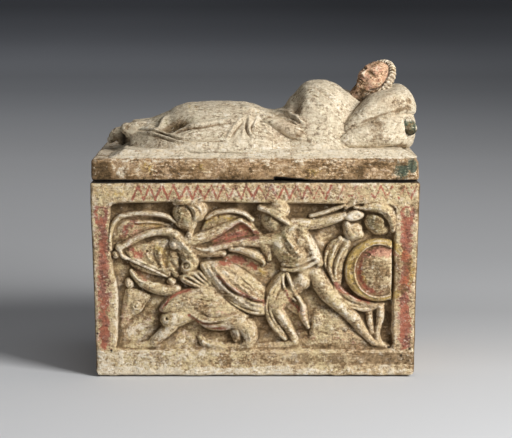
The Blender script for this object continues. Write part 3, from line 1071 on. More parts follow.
def paintedFields(height, opening):
    # masks on the front grid: soft strokes of each paint, dark pits, and hollows and crests from two blurs of
    # the height; opening is the distance inside the raised frame
    fields = {key: np.zeros(gridX.shape) for key in (*paints, "greenStain", "darkStain")}
    near, wide = blurred(height, 5), blurred(height, 90)
    hollow = clipped(0.95 * (near - height) + 0.11 * (wide - height), -1)
    across, upward = gridX - shieldPlace[0], gridZ - shieldPlace[1]
    outer, ring = (np.hypot(across / rx, upward / rz) for rx, rz in (shield["outer"], (25, 27)))
    rim = (outer < 1) * clipped((ring - 1.02) / 0.04)
    drift, slow = frontLumps((1, 13, 18)), frontLumps((1, 38, 19))
    chalky = clipped((9.5 + 3.5 * drift - gridZ) / 1.2)
    chalky = chalky * clipped(0.95 - 0.004 * (gridX - 20) + 0.5 * slow)

    def brush(key, amount):
        fields[key] = np.maximum(fields[key], amount)

    for key, strokes in paints.items():
        for width, strength, *places in strokes:
            brush(key, steadyStroke(atField(places), width, strength))
    brush("redPaint", zigzagPaint())
    for stroke in pillarStrokes():
        brush("redPaint", steadyStroke(*stroke))
    brush("palePaint", chalky)
    brush("palePaint", 0.6 * clipped(-(gridX + 30) / 60) * (gridZ < 26.5))
    brush("ochrePaint", 0.8 * rim)
    brush("oliveStain", 0.45 * rim * clipped(0.5 + drift))
    redRing = 1.3 * bell((ring - 0.88) / 0.14)
    brush("redPaint", redRing * clipped(0.55 - across / 30) * (outer < 1))
    brush("pinkPaint", 1.1 * (ring < 0.98) * clipped((upward - 12) / 5))
    for x, z in ((-149.8, 27), (-164, 45), (161, 29), (139, 30), (152, 22)):
        brush("darkStain", bell(np.hypot(gridX - x, gridZ - z) / 1.5, 4))
    brush("darkStain", clipped((gridZ - 202.0 + 0.4 * drift) / 0.8))

    atEdge = bell((opening + 1.5) / 3.5)
    hollow = np.where(hollow < 0, hollow * (1 - 0.75 * atEdge), hollow)
    hollow = clipped(hollow + 0.21 * clipped(opening / 3), -1)
    shaded = clipped((gridZ - 160) / 10) * clipped((9 - height) / 4) * clipped(opening / 2)
    hollow = clipped(hollow + 0.36 * shaded, -1) * np.clip(0.95 + frontLumps((0.50, 12, 20)), 0.35, 1.4)
    earthy = clipped((gridZ - 10.5 - 2 * drift) / 2.5) * clipped((26.5 - gridZ) / 2.5)
    earthy = earthy * clipped(0.42 + 0.5 * drift + 0.004 * (gridX + 40) + 0.3 * slow)
    for amount in (0.62 * earthy, -0.25 * chalky, 0.27 * clipped((gridX - 143) / 4) * (gridZ > 27),
                   0.20 * (outer < 1)):
        hollow = clipped(hollow + amount, -1)
    paint = np.maximum.reduce([fields["redPaint"], fields["pinkPaint"], 0.6 * fields["ochrePaint"]])
    hollow = np.where(hollow > 0, np.maximum(hollow - 0.28 * paint, 0), hollow)
    for u, v, radius, strength in ((930, 890, 7.0, 0.55), (555, 900, 8.0, 0.35), (240, 925, 8.0, 0.25)):
        hollow = clipped(hollow + strength * bell(fromPlace(u, v) / radius), -1)
    edge = halfWidthAt(gridZ) - np.abs(gridX)
    fields["cavity"] = clipped(hollow + 0.55 * bell(edge / 1.8), -1)
    return fields


forms, shared, frontHeight, opening = buildRelief()
slopeZ, slopeX = np.gradient(frontHeight, stepZ, stepX)
frontNormals = np.stack([-slopeX, -np.ones(gridX.shape), -slopeZ], axis=-1)
frontNormals /= np.linalg.norm(frontNormals, axis=2, keepdims=True)
frontFields = paintedFields(frontHeight, opening)
print("relief surface:", frontHeight.shape)

for name in list(reliefSpecs) + ["shield"]:
    inside = forms[name] > chest["edge"]
    if name == "shield":
        inside &= gridX < atField((shield["cutAt"], 0))[0, 0]
    gridPiece(name, blocksWhere(inside), np.maximum(forms[name], chest["sunk"]) + shared,
              chest["fieldY"] + chest["reliefDepth"])
print("relief pieces:", len(reliefSpecs) + 1)

whole = np.ones((chest["cellsUp"] // chest["block"], chest["cellsAlong"] // chest["block"]), bool)
blockSize = chest["block"] * stepX
rows = np.arange(whole.shape[0])[:, None] * chest["block"] * stepZ
columns = np.arange(whole.shape[1]) * blockSize - chest["rimWidth"] / 2
upper = rows > chest["height"] - chest["bandHeight"] - blockSize
lower = rows < chest["plinthHeight"] - blockSize * 0.6
central = (columns > -141) & (columns + blockSize < 141)
framed = blocksWhere(forms["frame"] > chest["frameEdge"])
frameTop = np.maximum(forms["frame"], chest["frameSunk"]) + shared
for name, mask in (("cornice_band", upper | (central & ~lower & (rows > 100))),
                   ("plinth", lower | (central & ~upper & (rows <= 100))),
                   ("left_pilaster", ~upper & ~lower & ~central & (columns < 0)),
                   ("right_pilaster", ~upper & ~lower & ~central & (columns > 0))):
    gridPiece(name, framed & mask, frameTop, chest["fieldY"])

ground = np.zeros(gridX.shape)
ground[2:-2, 2:-2] = (forms["ground"] + shared)[2:-2, 2:-2]
gridPiece("front_wall", whole, ground, chest["fieldY"] + chest["panel"], coarse=2)
print("front panel and frame made")


# Walls of the chest; the floor and the seams keep their own shapes

wall = {"side": 15.0, "backInner": 85.5, "backOuter": 100.5, "tuck": 1.0, "radius": 2.4, "sideRadius": 1.2,
        "edgeRoughness": 0.6}
plainNodes = ("floor_slab", "floor_seam", "corner_seam_front_left", "corner_seam_front_right",
              "corner_seam_back_left", "corner_seam_back_right")


def roughened(points, away):
    # slab surface: the hand's wander, and lumps and trowel marks straight outwards, none at the underside
    rise = lumps(points, (0.21, 11, 71), (0.14, 4.5, 72)) + lumps(points * (0.25, 0.25, 1), (0.175, 5, 73))
    inset = np.where(np.abs(away).max(axis=1) > 0.99, 1.0, wall["edgeRoughness"]) * (points[:, 2] > 1)
    return handmade(points + away * (rise * inset)[:, None])


def wallFields(points):
    # dirt in patches towards the foot of every slab, and paler patches where slip was smeared
    low = clipped(1 - points[:, 2] / 40) * (0.5 + lumps(points, (0.5, 26, 61)))
    return {"cavity": clipped(lumps(points, (0.35, 7, 62), (0.3, 30, 63)), -1), "oliveStain": 0.5 * low,
            "bleach": np.clip(0.30 + lumps(points, (0.55, 48, 64), (0.2, 16, 65)), 0, 0.8)}


def makeWalls():
    # both kinds lean outwards: the back is stretched about its middle, the sides are shifted
    half, panelBack = chest["footWidth"] / 2, chest["fieldY"] + chest["panel"]

    def backPlace(points, away):
        stretch = halfWidthAt(np.clip(points[:, 2], 0, chest["height"])) / half
        return roughened(points * np.column_stack([stretch, 1 + 0 * stretch, 1 + 0 * stretch]), away)

    slabPiece("back_wall", (-half, wall["backInner"], 0), (half, wall["backOuter"], chest["height"]),
              wall["radius"], backPlace, "chest", wallFields)
    for side, name in ((-1, "left_wall"), (1, "right_wall")):
        def sidePlace(points, away):
            moved = points.copy()
            moved[:, 0] += side * (halfWidthAt(points[:, 2]) - half)
            return roughened(moved, away)

        ends = sorted((side * half, side * (half - wall["side"])))
        slabPiece(name, (ends[0], panelBack - wall["tuck"], 0),
                  (ends[1], wall["backInner"] + wall["tuck"], chest["height"]), wall["sideRadius"], sidePlace,
                  "chest", wallFields)
    for name in plainNodes:
        nodes[name].data.materials.clear()
        nodes[name].data.materials.append(finishes[slotOf[name]])


makeWalls()
print("walls made")


# Lid slab: stains are place, half widths and strength; pits are place, radius and depth

lid = {
    "low": 203.8, "top": 228.0, "half": 169.0, "front": -93.5, "back": 99.5, "radius": 4.6, "seat": 235.6,
    "middleY": -3.0, "seenY": -30.0, "pocketRim": 26.0, "pocketDepth": 10.0, "pocketFillet": 3.0,
    "chipStart": 20.0, "chipEnd": 62.0, "chipHeight": 4.6, "chipDepth": 9.0,
    "stepX": 1.15, "stepY": 2.2, "stepZ": 1.1, "crackZ": 224.3, "crackStart": 128.0, "crackEnd": 164.0,
    "pits": [(58, 211.5, 1.6, 2.6), (63, 207, 1.2, 2), (114.5, 210.5, 1.3, 2.2), (-60, 219, 2.4, 0.7),
             (-101, 213, 4.0, 0.6), (8, 214, 3.5, 0.6)],
    "stains": {
        "cavity": [(-158, 214, 9, 12, 1.3), (108, 216, 9, 9, 0.8), (-20, 208, 40, 4, 0.7),
                   (125, 222, 30, 2.2, 0.7), (-80, 213, 16, 7, 0.5), (60, 214, 90, 30, 0.16)],
        "palePaint": [(-137, 213, 6, 8, 0.95), (164, 214, 3, 9, 0.8), (-120, 214, 5, 8, 0.6)],
        "redPaint": [(-101, 215, 4, 8, 0.45), (7, 214, 5, 7, 0.35)],
        "ochrePaint": [(-57, 218, 9, 6, 0.55), (60, 214, 14, 8, 0.5), (-112, 218, 10, 8, 0.55)],
        "greenStain": [(152, 216, 9, 8, 1.15), (162, 220, 6, 8, 1.35)]},
}
eye = np.array([0.9, -1987.0, 421.0])


def chipRise(x):
    # height of the chip under the front edge, falling from its left end to its right
    share = clipped((x - lid["chipStart"]) / (lid["chipEnd"] - lid["chipStart"]))
    return lid["chipHeight"] * (1 - share) ** 0.7


def crackLine(x, z, width):
    # a fine wavy crack near the right end of the front
    away = (z - lid["crackZ"] - 0.4 * np.sin(x / 5)) / width
    return bell(away) * clipped((x - lid["crackStart"]) / 8)


def lidSlabPlace(points, away):
    # slab surface: lumps outwards, less wear; pits are bells of the fourth power and the crack is a bell; the
    # hollow below starts as a quarter circle, and the chip lifts the lower front edge to its own ceiling
    x, y, z = points.T
    lump = lumps(points, (0.275, 13, 81), (0.1925, 5, 82), (0.275, 42, 83))
    worn = 1.2 * clipped(lumps(points, (1, 22, 84)) - 0.25) * (np.abs(away).max(axis=1) < 0.99)
    moved = points + away * (lump - worn)[:, None]
    front = away[:, 1] < -0.5
    for px, pz, radius, depth in lid["pits"]:
        moved[:, 1] += front * depth * bell(np.hypot(x - px, z - pz) / radius, 4)
    moved[:, 1] += front * 1.2 * crackLine(x, z, 0.7) * clipped((lid["crackEnd"] - x) / 5)
    broken = clipped((x - 158 + 0.35 * (lid["top"] - z)) / 4) * clipped((z - 219) / 5)
    broken = broken * clipped((-70 - y) / 12)
    moved[:, 1] += 2.6 * broken
    moved[:, 2] -= 1.8 * broken * (away[:, 2] > 0.3)
    inner = np.minimum.reduce([lid["half"] - np.abs(x), y - lid["front"], lid["back"] - y]) - lid["pocketRim"]
    hollow = 1 - (1 - clipped(inner / lid["pocketFillet"])) ** 2
    moved[:, 2] += (away[:, 2] < -0.9) * lid["pocketDepth"] * hollow
    ceiling = chipRise(x) * (x > lid["chipStart"]) * (x < lid["chipEnd"])
    ceiling = ceiling + lumps(points, (0.5, 3, 86)) * (ceiling > 0.3)
    ceiling = ceiling * clipped((lid["front"] + lid["chipDepth"] - y) / 3)
    moved[:, 2] = np.maximum(moved[:, 2], np.where(ceiling > 0, lid["low"] + ceiling, -1e3))
    return moved


def lidSlabFields(points):
    # stains along the front face, a pale top and upper edge, the crack, and dark at the joint and in the chip
    x, y, z = points.T
    front = clipped((-80 - y) / 8)
    fields = {key: np.maximum.reduce([strength * np.exp(-((x - px) / rx) ** 2 - ((z - pz) / rz) ** 2) * front
                                      for px, pz, rx, rz, strength in patches])
              for key, patches in lid["stains"].items()}
    upperEdge = 0.45 * bell((z - 225.6) / 2.0) * front
    fields["palePaint"] = np.maximum.reduce([fields["palePaint"], upperEdge, 0.75 * (z > lid["top"] - 0.8)])
    run = 0.7 * bell((x - 161 - 0.1 * (z - 216)) / 0.9) * front * (z > 214) * (z < 226)
    joint = clipped(206.4 + lumps(points, (0.6, 9, 89)) - z)
    chip = clipped((205.2 + chipRise(x) - z) / 0.6) * (x > lid["chipStart"] - 1) * (x < lid["chipEnd"])
    crack = 0.8 * crackLine(x, z, 0.8) * (x < lid["crackEnd"]) * front
    fields["darkStain"] = np.maximum.reduce([run, crack, 1.2 * joint, 1.2 * chip])
    fields["cavity"] = clipped(fields["cavity"] + lumps(points, (0.4, 9, 87), (0.3, 24, 88)), -1)
    return fields


def lidSlabStations():
    # finer along the front edge and at the pocket's rim
    sizes = (2 * lid["half"], lid["back"] - lid["front"], lid["top"] - lid["low"])
    alongX, alongY, alongZ = (slabLattice(size, lid[step], lid["radius"])
                              for size, step in zip(sizes, ("stepX", "stepY", "stepZ")))
    finer = [np.arange(5, 12, 0.8), lid["pocketRim"] + np.array([0.8, 1.6, 2.4])]
    return [alongX, np.unique(np.concatenate([alongY, *finer])), alongZ]


slabPiece("lid_slab", (-lid["half"], lid["front"], lid["low"]), (lid["half"], lid["back"], lid["top"]),
          lid["radius"], lidSlabPlace, "lid", lidSlabFields, lidSlabStations())
print("lid slab made")


# Lying figure: seen places are in millimetres on an upright plane through the figure's near side


def onSeenPlane(points):
    # where the line from the eye through each point meets the plane
    reach = (lid["seenY"] - eye[1]) / (points[..., 1] - eye[1])
    seen = eye + (points - eye) * reach[..., None]
    return seen[..., 0], seen[..., 2]


def seenLine(x, z, width, height, *places):
    # bell curve across a smooth line on the plane, weaker at both ends
    places = pairs(places)
    strength = np.ones(len(places))
    strength[[0, -1]] = 0.3
    rows = smoothRows(np.column_stack([places, strength]))
    out = 0
    for p, q in zip(rows[:-1], rows[1:]):
        distance, t = nearSegment(x, z, p, q)
        out = np.maximum(out, (p[2] + (q[2] - p[2]) * t) * bell(distance / width))
    return height * out


def seenPatch(x, z, px, pz, rx, rz, turn=0.0):
    # bell-shaped patch on the plane
    c, s = np.cos(np.radians(turn)), np.sin(np.radians(turn))
    dx, dz = x - px, z - pz
    return np.exp(-(((dx * c + dz * s) / rx) ** 2 + ((dz * c - dx * s) / rz) ** 2))


# Mantle: rows are x, half width and height; ridges and grooves are width, height and seen places; dips, dirt
# and paint are seen place, half widths, turn and strength

mantle = {
    "start": -133.0, "split": 17.5, "end": 124.0, "step": 0.95, "around": 230, "below": 12,
    "acrossPower": 0.9, "upPower": 0.82, "flare": 13.0, "flareFade": 6.0, "sunk": 4.6,
    "rows": pairs((-133,19,20, -131,24,24.4, -121,34,25.6, -113,41,26.6, -107,45,28.6, -102,49,30.6,
        -97,52,32.6, -91,55,35.6, -86,58,38.6, -81,60,40.6, -75,61.5,42.4, -68,63,43.6, -59,64,43.8,
        -43,64,44.6, -27,64,44.6, -11,63,43.6, 0,61.5,41, 11,60,36.8, 21,57,35.6, 27,55.5,37, 32,55,40.5,
        37,54.5,48.6, 43,56,55.8, 50,58.5,62.8, 58,60,66.8, 67,60,67.6, 75,59,67, 82,57,64.6, 88,55,61,
        94,51,57.6, 101,46,56, 110,37,54.5, 118,29,51.5, 125,21,48), 3),
    "ridges": [(1.6, 1.3, -122,249, -112,248.5, -101,246.5, -90,242.5, -80,239.5, -64,238, -48,238,
        -27,237), (1.8, 1.5, -120,253, -110,253, -100,251, -90,247, -80,243.5, -64,242, -45,242), (2, 2.6,
        -112,249, -106,252, -101,258, -96,264, -90,268), (2.2, 1.6, -88,249, -80,254, -69,256.5, -58,257.5,
        -43,260.5, -27,262.5, -14,262), (1.3, 2.2, -6,268, -7,258, -6,250, -2,244), (1.2, 1.7, 2,266,
        -1,256, 0,249), (1.8, 1.8, -30,243, -26,250, -19,259, -12,266), (1.4, 1.4, -14,243, -13,250,
        -12,258), (2, 1, -20,240, -10,240, 4,241, 20,243), (1.4, 1.2, 8,256, 14,250, 20,245), (2, 2.4,
        -14,277, -6,274, 4,271, 14,267, 24,262, 34,257, 44,250, 56,242), (2.4, 2.2, -10,271, 0,267, 12,261,
        22,256, 32,250, 42,243), (1.6, 2.6, 23,273, 32,272, 39,269, 45,265, 52,258), (1.3, 1.5, 26,268,
        34,265, 42,260, 48,254), (1.4, 1.2, 55,301, 62,300, 72,294, 82,285, 92,276), (1.4, 1.1, 52,295,
        62,294, 74,286, 86,276), (1.5, 0.9, 50,288, 60,287, 72,279, 84,269), (1.1, 1.6, 66,304, 76,300,
        86,293, 94,287), (1.1, 1.8, 72,305, 82,301.5, 91,295, 99,288), (2, 0.7, 52,278, 62,274, 74,266,
        84,256)],
    "grooves": [(1, 2, -122,251.5, -112,251, -101,249, -90,245, -80,241.5, -64,240, -48,240, -27,239), (0.9,
        1.1, -120,246.5, -105,245, -92,240.5, -78,237.5, -55,236.5), (1.4, 2.2, -90,246, -80,251, -69,253.5,
        -58,254.5, -43,257.5, -27,259.5), (1, 2.2, -9,265, -10,257, -9,250, -5,244), (0.9, 1.8, 0,264,
        -4,255, -3,248), (1.1, 1.8, -27,241, -23,248, -16,257, -10,264), (1.4, 0.8, -34,243, -30,248,
        -24,254), (1.2, 3.4, -12,274, -5,271, 2,269, 8,265, 16,263, 26,259, 34,254, 42,248, 51,243, 58,240),
        (1.1, 2, 20,268, 30,267, 38,264, 46,259), (1.2, 0.8, 15,270, 24,268), (0.8, 1.8, 76,304, 82,300,
        90,294, 97,287), (0.8, 1.3, 70,303, 80,297, 90,288), (0.9, 0.9, 60,298, 70,292, 80,284, 88,276),
        (0.9, 0.8, 56,291, 66,287, 78,278), (1.2, 1, 8,252, 15,247, 22,243)],
    "dips": [(-84,259,15,6.5,12,7.5), (-92,252,9,4.5,25,3), (41,278,6.5,15,-18,5.5), (30,255,9,4,-25,1.5),
        (-105,255,4,5,0,2)],
    "dirt": [(-84,257,15,6,12,0.62), (-98,251,9,4,25,0.45), (-104,243,14,2,-8,0.35), (46,272,6,10,-15,0.25),
        (52,243,10,4,-30,0.35), (-5,254,4,8,0,0.2), (10,246,30,4,0,0.15)],
    "paint": {
        "oliveStain": [(-84,259,17,7,12,0.8), (-100,262,12,6,25,0.6), (25,262,26,5,-26,0.4),
            (44,278,8,15,-15,0.3), (48,246,9,5,-30,0.7), (-66,262,12,6,0,0.4)],
        "ochrePaint": [(14,268,24,3,-22,0.5), (-70,275,10,5,20,0.35), (40,255,14,4,-30,0.5)],
        "palePaint": [(36,269,13,2.5,-20,0.9), (-60,236,60,5,0,0.7), (40,234,70,5,0,0.9),
            (84,282,18,14,-30,0.6), (-2,256,3,9,0,0.5), (-115,256,8,7,0,0.6), (86,297,12,4,-40,0.7)],
        "redPaint": [(-100,236,24,1.6,-3,0.3)]},
}


def mantleGrid(fromX, toX):
    # sections square to the length: powers of cosine and sine, scaled by the rows; folds along the normal
    rows = smoothRows(mantle["rows"], 8)
    even = np.linspace(rows[0, 0], rows[-1, 0], 900)
    stations = np.linspace(fromX, toX, int((toX - fromX) / mantle["step"]))
    half, high = (np.interp(stations, even, np.interp(even, rows[:, 0], rows[:, k]))[:, None] for k in (1, 2))
    angle = np.linspace(0, math.pi, mantle["around"])
    across = -np.sign(np.cos(angle)) * np.abs(np.cos(angle)) ** mantle["acrossPower"]
    topZ = lid["seat"] + np.sin(angle) ** mantle["upPower"] * high
    flare = mantle["flare"] * np.exp(-(topZ - lid["seat"]) / mantle["flareFade"])
    topY = lid["middleY"] + across * (half + flare)
    lowY = lid["middleY"] + np.linspace(1, -1, mantle["below"] + 2)[1:-1] * (half + mantle["flare"])
    lowZ = np.full(lowY.shape, lid["seat"] - mantle["sunk"])
    y, z = np.hstack([topY, lowY]), np.hstack([topZ, lowZ])
    x = stations[:, None] + 0 * y
    grid = np.stack([x, y, z], axis=-1)
    normal = ringNormals(grid)
    seenX, seenZ = onSeenPlane(grid)
    facing = clipped(0.35 - normal[..., 1] + 0.35 * (normal[..., 2] > 0.6))
    folds = sum(seenLine(seenX, seenZ, *line) for line in mantle["ridges"])
    folds = folds - sum(seenLine(seenX, seenZ, *line) for line in mantle["grooves"])
    dips = sum(depth * seenPatch(seenX, seenZ, *place) for *place, depth in mantle["dips"])
    sweep = y + 0.22 * x + 5 * np.sin(x / 34)
    backFolds = 1.1 * np.sin(sweep / 4.6) * clipped((y - 8) / 16) * clipped((z - 240) / 8)
    rise = (folds - dips) * facing * clipped((40 - y) / 20) + backFolds
    rise = rise + lumps(grid, (0.34, 9, 91), (0.2, 3.6, 92), (0.1, 1.8, 93))
    rise[:, mantle["around"]:] = 0
    grid = grid + normal * rise[..., None]
    top = grid[:, :mantle["around"], 2]
    top[:] = np.maximum(top - 3.4 * np.exp(-(top - lid["seat"]) / 2.0), lid["seat"] - 4.4)
    grid[0, :, 0], grid[-1, :, 0] = fromX, toX
    cavity = clipped(-0.32 * (rise + 0.88 * dips * facing) - 0.25 * (y > 0) * backFolds, -1)
    for *place, strength in mantle["dirt"]:
        cavity = clipped(cavity + strength * seenPatch(seenX, seenZ, *place) * facing, -1)
    fields = {key: facing * np.maximum.reduce([strength * seenPatch(seenX, seenZ, *place)
                                               for *place, strength in patches])
              for key, patches in mantle["paint"].items()}
    return grid, {**fields, "cavity": cavity, "bleach": 0 * cavity + 1}


ringPiece("draped_legs", *mantleGrid(mantle["start"], mantle["split"]))
ringPiece("draped_torso", *mantleGrid(mantle["split"], mantle["end"]))
print("mantle made")


# Mattress and cushions

mattress = {"left": -152.0, "right": 168.0, "front": -90.0, "back": 94.0, "slope": 15.0, "thick": 7.2,
            "sunk": 0.7, "corner": 9.0, "inner": 62.0, "slopeRings": 17, "topRings": 22,
            "perSide": 110, "perCorner": 10}


def outlineRing(inset):
    # rounded rectangle with the same number of points on every ring
    radius = max(mattress["corner"] - 0.5 * inset, 2)
    x0, x1 = mattress["left"] + inset + radius, mattress["right"] - inset - radius
    y0, y1 = mattress["front"] + inset + radius, mattress["back"] - inset - radius
    corners = np.array([(x1, y0), (x1, y1), (x0, y1), (x0, y0)])
    t = np.linspace(0, 1, mattress["perSide"])[:, None]
    arc = np.linspace(0, math.pi / 2, mattress["perCorner"] + 2)[1:-1]
    parts = []
    for k in range(4):
        turn = (k - 1) * math.pi / 2
        outward = radius * np.array([math.cos(turn), math.sin(turn)])
        parts.append(corners[k - 1] * (1 - t) + corners[k] * t + outward)
        parts.append(corners[k] + radius * np.column_stack([np.cos(turn + arc), np.sin(turn + arc)]))
    return np.vstack(parts)


def makeMattress():
    # rings of a rounded outline: from the slab's top in a hollow slope up to a flat top
    climb = np.linspace(0, 1, mattress["slopeRings"] + 1)[1:]
    level = np.linspace(mattress["slope"] + 2, mattress["inner"], mattress["topRings"])
    insets = np.concatenate([[4, 1, 0], mattress["slope"] * climb, level])
    heights = np.concatenate([[-mattress["sunk"], -mattress["sunk"], 0], mattress["thick"] * climb ** 1.35,
                              0 * level + mattress["thick"]])
    grid = np.stack([np.column_stack([ring, np.full(len(ring), lid["top"] + height)])
                     for ring, height in zip(map(outlineRing, insets), heights)])
    x, y, z = np.moveaxis(grid, -1, 0)
    rise = lumps(grid, (0.5, 14, 95), (0.35, 5, 96)) + lumps(grid * (0.3, 1, 2), (0.7, 6, 97))
    rise[:3] = 0
    nearFront = clipped((-50 - y) / 15)
    fields = {"cavity": clipped(-0.4 * rise + lumps(grid, (0.5, 20, 98)) - 0.25 * (y < -55), -1),
              "palePaint": 0.85 * nearFront * (0.8 + lumps(grid, (0.3, 30, 99))),
              "redPaint": 0.45 * bell((z - 230.4) / 0.9) * (x < -92) * (y < -60),
              "bleach": 0 * x + 1}
    ringPiece("mattress", grid + ringNormals(grid) * rise[..., None], fields)



# Cushions: rows are x, bottom, top and half width
cushions = {
    "lower_cushion": {
        "rows": (72,232,236.4,50, 75,231.8,239,56, 82,231.8,246.2,61, 92,231.8,253,64, 101,231.8,258.6,66,
            112,231.8,263.5,66, 124,231.8,267.8,66, 138,231.8,272.6,65, 150,231.8,275.8,61,
            158,232,276.5,55, 164,233,274.5,50, 167.6,236,269,45, 169.4,242,261,40),
        "acrossPower": 0.6, "upPower": 0.55, "spread": 7.5, "pit": 0},
    "upper_cushion": {
        "rows": (82,246,249.5,42, 86,244,254.5,50, 93,246,262.8,56, 101,249,271.8,60, 109,251.5,279.6,62,
            116,253.5,285.4,63, 124,255.5,290.2,62, 136,258.5,294.8,61, 148,261.5,297.4,58,
            156,263.5,297.4,55, 163,265.5,293.5,51, 168,267.5,287,46, 170,270.5,281.5,40),
        "acrossPower": 0.55, "upPower": 0.62, "spread": 0, "pit": 3},
}
cushionShape = {"middleY": 3.0, "around": 240, "sunk": 2.6, "pitX": 151, "pitZ": 267, "pitRadius": 1.3}
# width, height and seen places: between the cushions, and where the body leans on them
cushionCreases = [(1.7, 1, 164,276, 151,272, 141,270, 124,264, 113,260, 101,255, 90,249, 80,242),
                  (1.8, 1, 127,291, 116,285, 109,279, 103,273, 97,267, 91,260, 86,253, 83,246, 77,239)]


def makeCushion(name, rows, acrossPower, upPower, spread, pit):
    # sections square to X: powers of cosine and sine of one angle, scaled by the rows; puckered seams
    length, bottom, top, half = smoothRows(pairs(rows, 4), 12).T[..., None]
    angle = np.linspace(0, 2 * math.pi, cushionShape["around"], endpoint=False)
    across = np.sign(np.cos(angle)) * np.abs(np.cos(angle)) ** acrossPower * half
    upward = np.sign(np.sin(angle)) * np.abs(np.sin(angle)) ** upPower * 0.5 * (top - bottom)
    z = 0.5 * (bottom + top) + upward
    x, y = length + 0 * z, cushionShape["middleY"] + across
    grid = np.stack([x, y, z], axis=-1)
    fromSeam = z - z.mean(axis=1, keepdims=True)
    flank = clipped((np.abs(across) - 40) / 15)
    puckers = np.sin(x / 3.6 + 1.5 * np.sin(y / 17)) * bell(fromSeam / 9)
    seenX, seenZ = onSeenPlane(grid)
    rise = lumps(grid, (0.7, 19, 101), (0.4, 7, 102), (0.2, 2.6, 103))
    rise = rise + flank * (0.18 * puckers + 0.35 * bell(fromSeam / 1.4))
    fromPit = np.hypot(seenX - cushionShape["pitX"], seenZ - cushionShape["pitZ"]) / cushionShape["pitRadius"]
    rise = rise - pit * np.exp(-fromPit ** 4) * (y < -20)
    fold = sum(seenLine(seenX, seenZ, *line) for line in cushionCreases) * (y < 0)
    lilac = seenPatch(seenX, seenZ, 152, 234, 9, 5) * (y < 0)
    fields = {"cavity": clipped(-0.5 * rise + lumps(grid, (0.10, 28, 104)) + 0.4 * fold + 0.4 * lilac, -1),
              "oliveStain": clipped(0.15 + lumps(grid, (0.35, 34, 105)) + 0.3 * fold),
              "palePaint": 0.45 + lumps(grid, (0.45, 25, 106)), "bleach": 0 * x + 1}
    grid = grid + ringNormals(grid) * rise[..., None]
    lowest = lid["seat"] - cushionShape["sunk"]
    grid[..., 2] = np.maximum(grid[..., 2], lowest)
    grid[..., 1] += spread * np.exp(-(grid[..., 2] - lowest) / 3.6) * clipped(across / 40, -1)
    ringPiece(name, grid, fields)


makeMattress()
for name, spec in cushions.items():
    makeCushion(name, **spec)
print("mattress and cushions made")


# Feet, forearm and tassel: rows are place and two radii, across and upright


def tubeGrid(rows, around, per):
    # ellipses square to a smooth path, with half circles at both ends
    rows = smoothRows(pairs(rows, 5), per)
    centre, radii = rows[:, :3], rows[:, 3:]
    along = np.gradient(centre, axis=0)
    along /= np.linalg.norm(along, axis=1, keepdims=True)
    t = np.linspace(0, math.pi / 2, 7)[1:-1, None]
    head = centre[0] - along[0] * radii[0].mean() * np.cos(t)
    tail = centre[-1] + along[-1] * radii[-1].mean() * np.cos(t[::-1])
    centre = np.vstack([head, centre, tail])
    along = np.vstack([0 * head + along[0], along, 0 * tail + along[-1]])
    radii = np.vstack([radii[0] * np.sin(t), radii, radii[-1] * np.sin(t[::-1])])
    side = np.cross(along, np.array([0, 0, 1.0]))
    side /= np.maximum(np.linalg.norm(side, axis=1, keepdims=True), 1e-9)
    upward = np.cross(side, along)
    angle = np.linspace(0, 2 * math.pi, around, endpoint=False)
    return (centre[:, None] + side[:, None] * (np.cos(angle) * radii[:, :1])[..., None]
            + upward[:, None] * (np.sin(angle) * radii[:, 1:])[..., None])


def roughGrid(grid, amount, seed):
    # lumps and grain along the normal, with dirt in the low ones
    rise = amount * lumps(grid, (0.6, 6, seed), (0.4, 2.4, seed + 1))
    return grid + ringNormals(grid) * rise[..., None], clipped(-1.2 * rise, -1)


figureTubes = {
    "near_forearm": {"around": 60, "per": 18, "rows": (60,-55,243.6,7.5,5, 50,-56.5,247,8.5,7.2,
        38,-54.5,252.5,8.6,8.2, 25,-50,258,7.6,7, 12,-45.5,263.4,6.2,5.4, 2.4,-42.6,266.4,5,4.4)},
    "near_foot": {"around": 56, "per": 14, "rows": (-113,-20,247,10,11.5, -120,-20,248,10.5,12.5,
        -128,-20,249.5,9.8,11.6, -134,-20,251,8.4,8.8, -137,-20,252,7.4,6.6)},
    "far_foot": {"around": 56, "per": 14, "rows": (-136,14,240,8.2,9.2, -142,14,241.5,8.8,10.4,
        -148.5,14,242.4,8.4,9, -153,14,241,7.4,6.6, -155.5,14,238.5,6.2,4.6)},
    "cushion_tassel": {"around": 56, "per": 12, "rows": (159,-49,262.1,5.6,5.6, 161.5,-49,258.5,6.6,6.8,
        162.5,-49,254.6,7,7.2)},
}
for name, spec in figureTubes.items():
    grid, cavity = roughGrid(tubeGrid(**spec), 0.7, 111)
    x, y, z = np.moveaxis(grid, -1, 0)
    fields = {"cavity": cavity, "bleach": 0 * cavity + 1}
    if name == "far_foot":
        between = bell((x + 141.5) / 4) * clipped((y + 24) / 6)
        fields["darkStain"] = 0.9 * between * clipped((258 - z) / 3)
    if name == "cushion_tassel":
        fields = {"cavity": cavity, "greenStain": 0 * cavity + 0.5, "palePaint": clipped((z - 260) / 4),
                  "darkStain": 0.75 * clipped((257 - z) / 4)}
    ringPiece(name, grid, fields)
print("feet, forearm and tassel made")


# Head with a plain face of common proportions, hair, and a beaded band

lyingHead = {"place": (126, -15, 304.1), "up": (0.66, 0.12, 0.74), "face": (-0.48, -0.68, 0.55),
             "height": 43.0, "width": 31.0, "depth": 35.0, "bandRadius": 3.7, "beads": 19, "bandArc": 200.0,
             "around": 200, "rising": 150, "bandAround": 40, "neck": (-15.5, 3.7, -21.5)}


def headAxes():
    # across, back and up, square to each other
    up = np.array(lyingHead["up"]) / np.linalg.norm(lyingHead["up"])
    face = np.array(lyingHead["face"], float)
    face -= up * face.dot(up)
    face /= np.linalg.norm(face)
    return np.stack([np.cross(up, -face), -face, up])


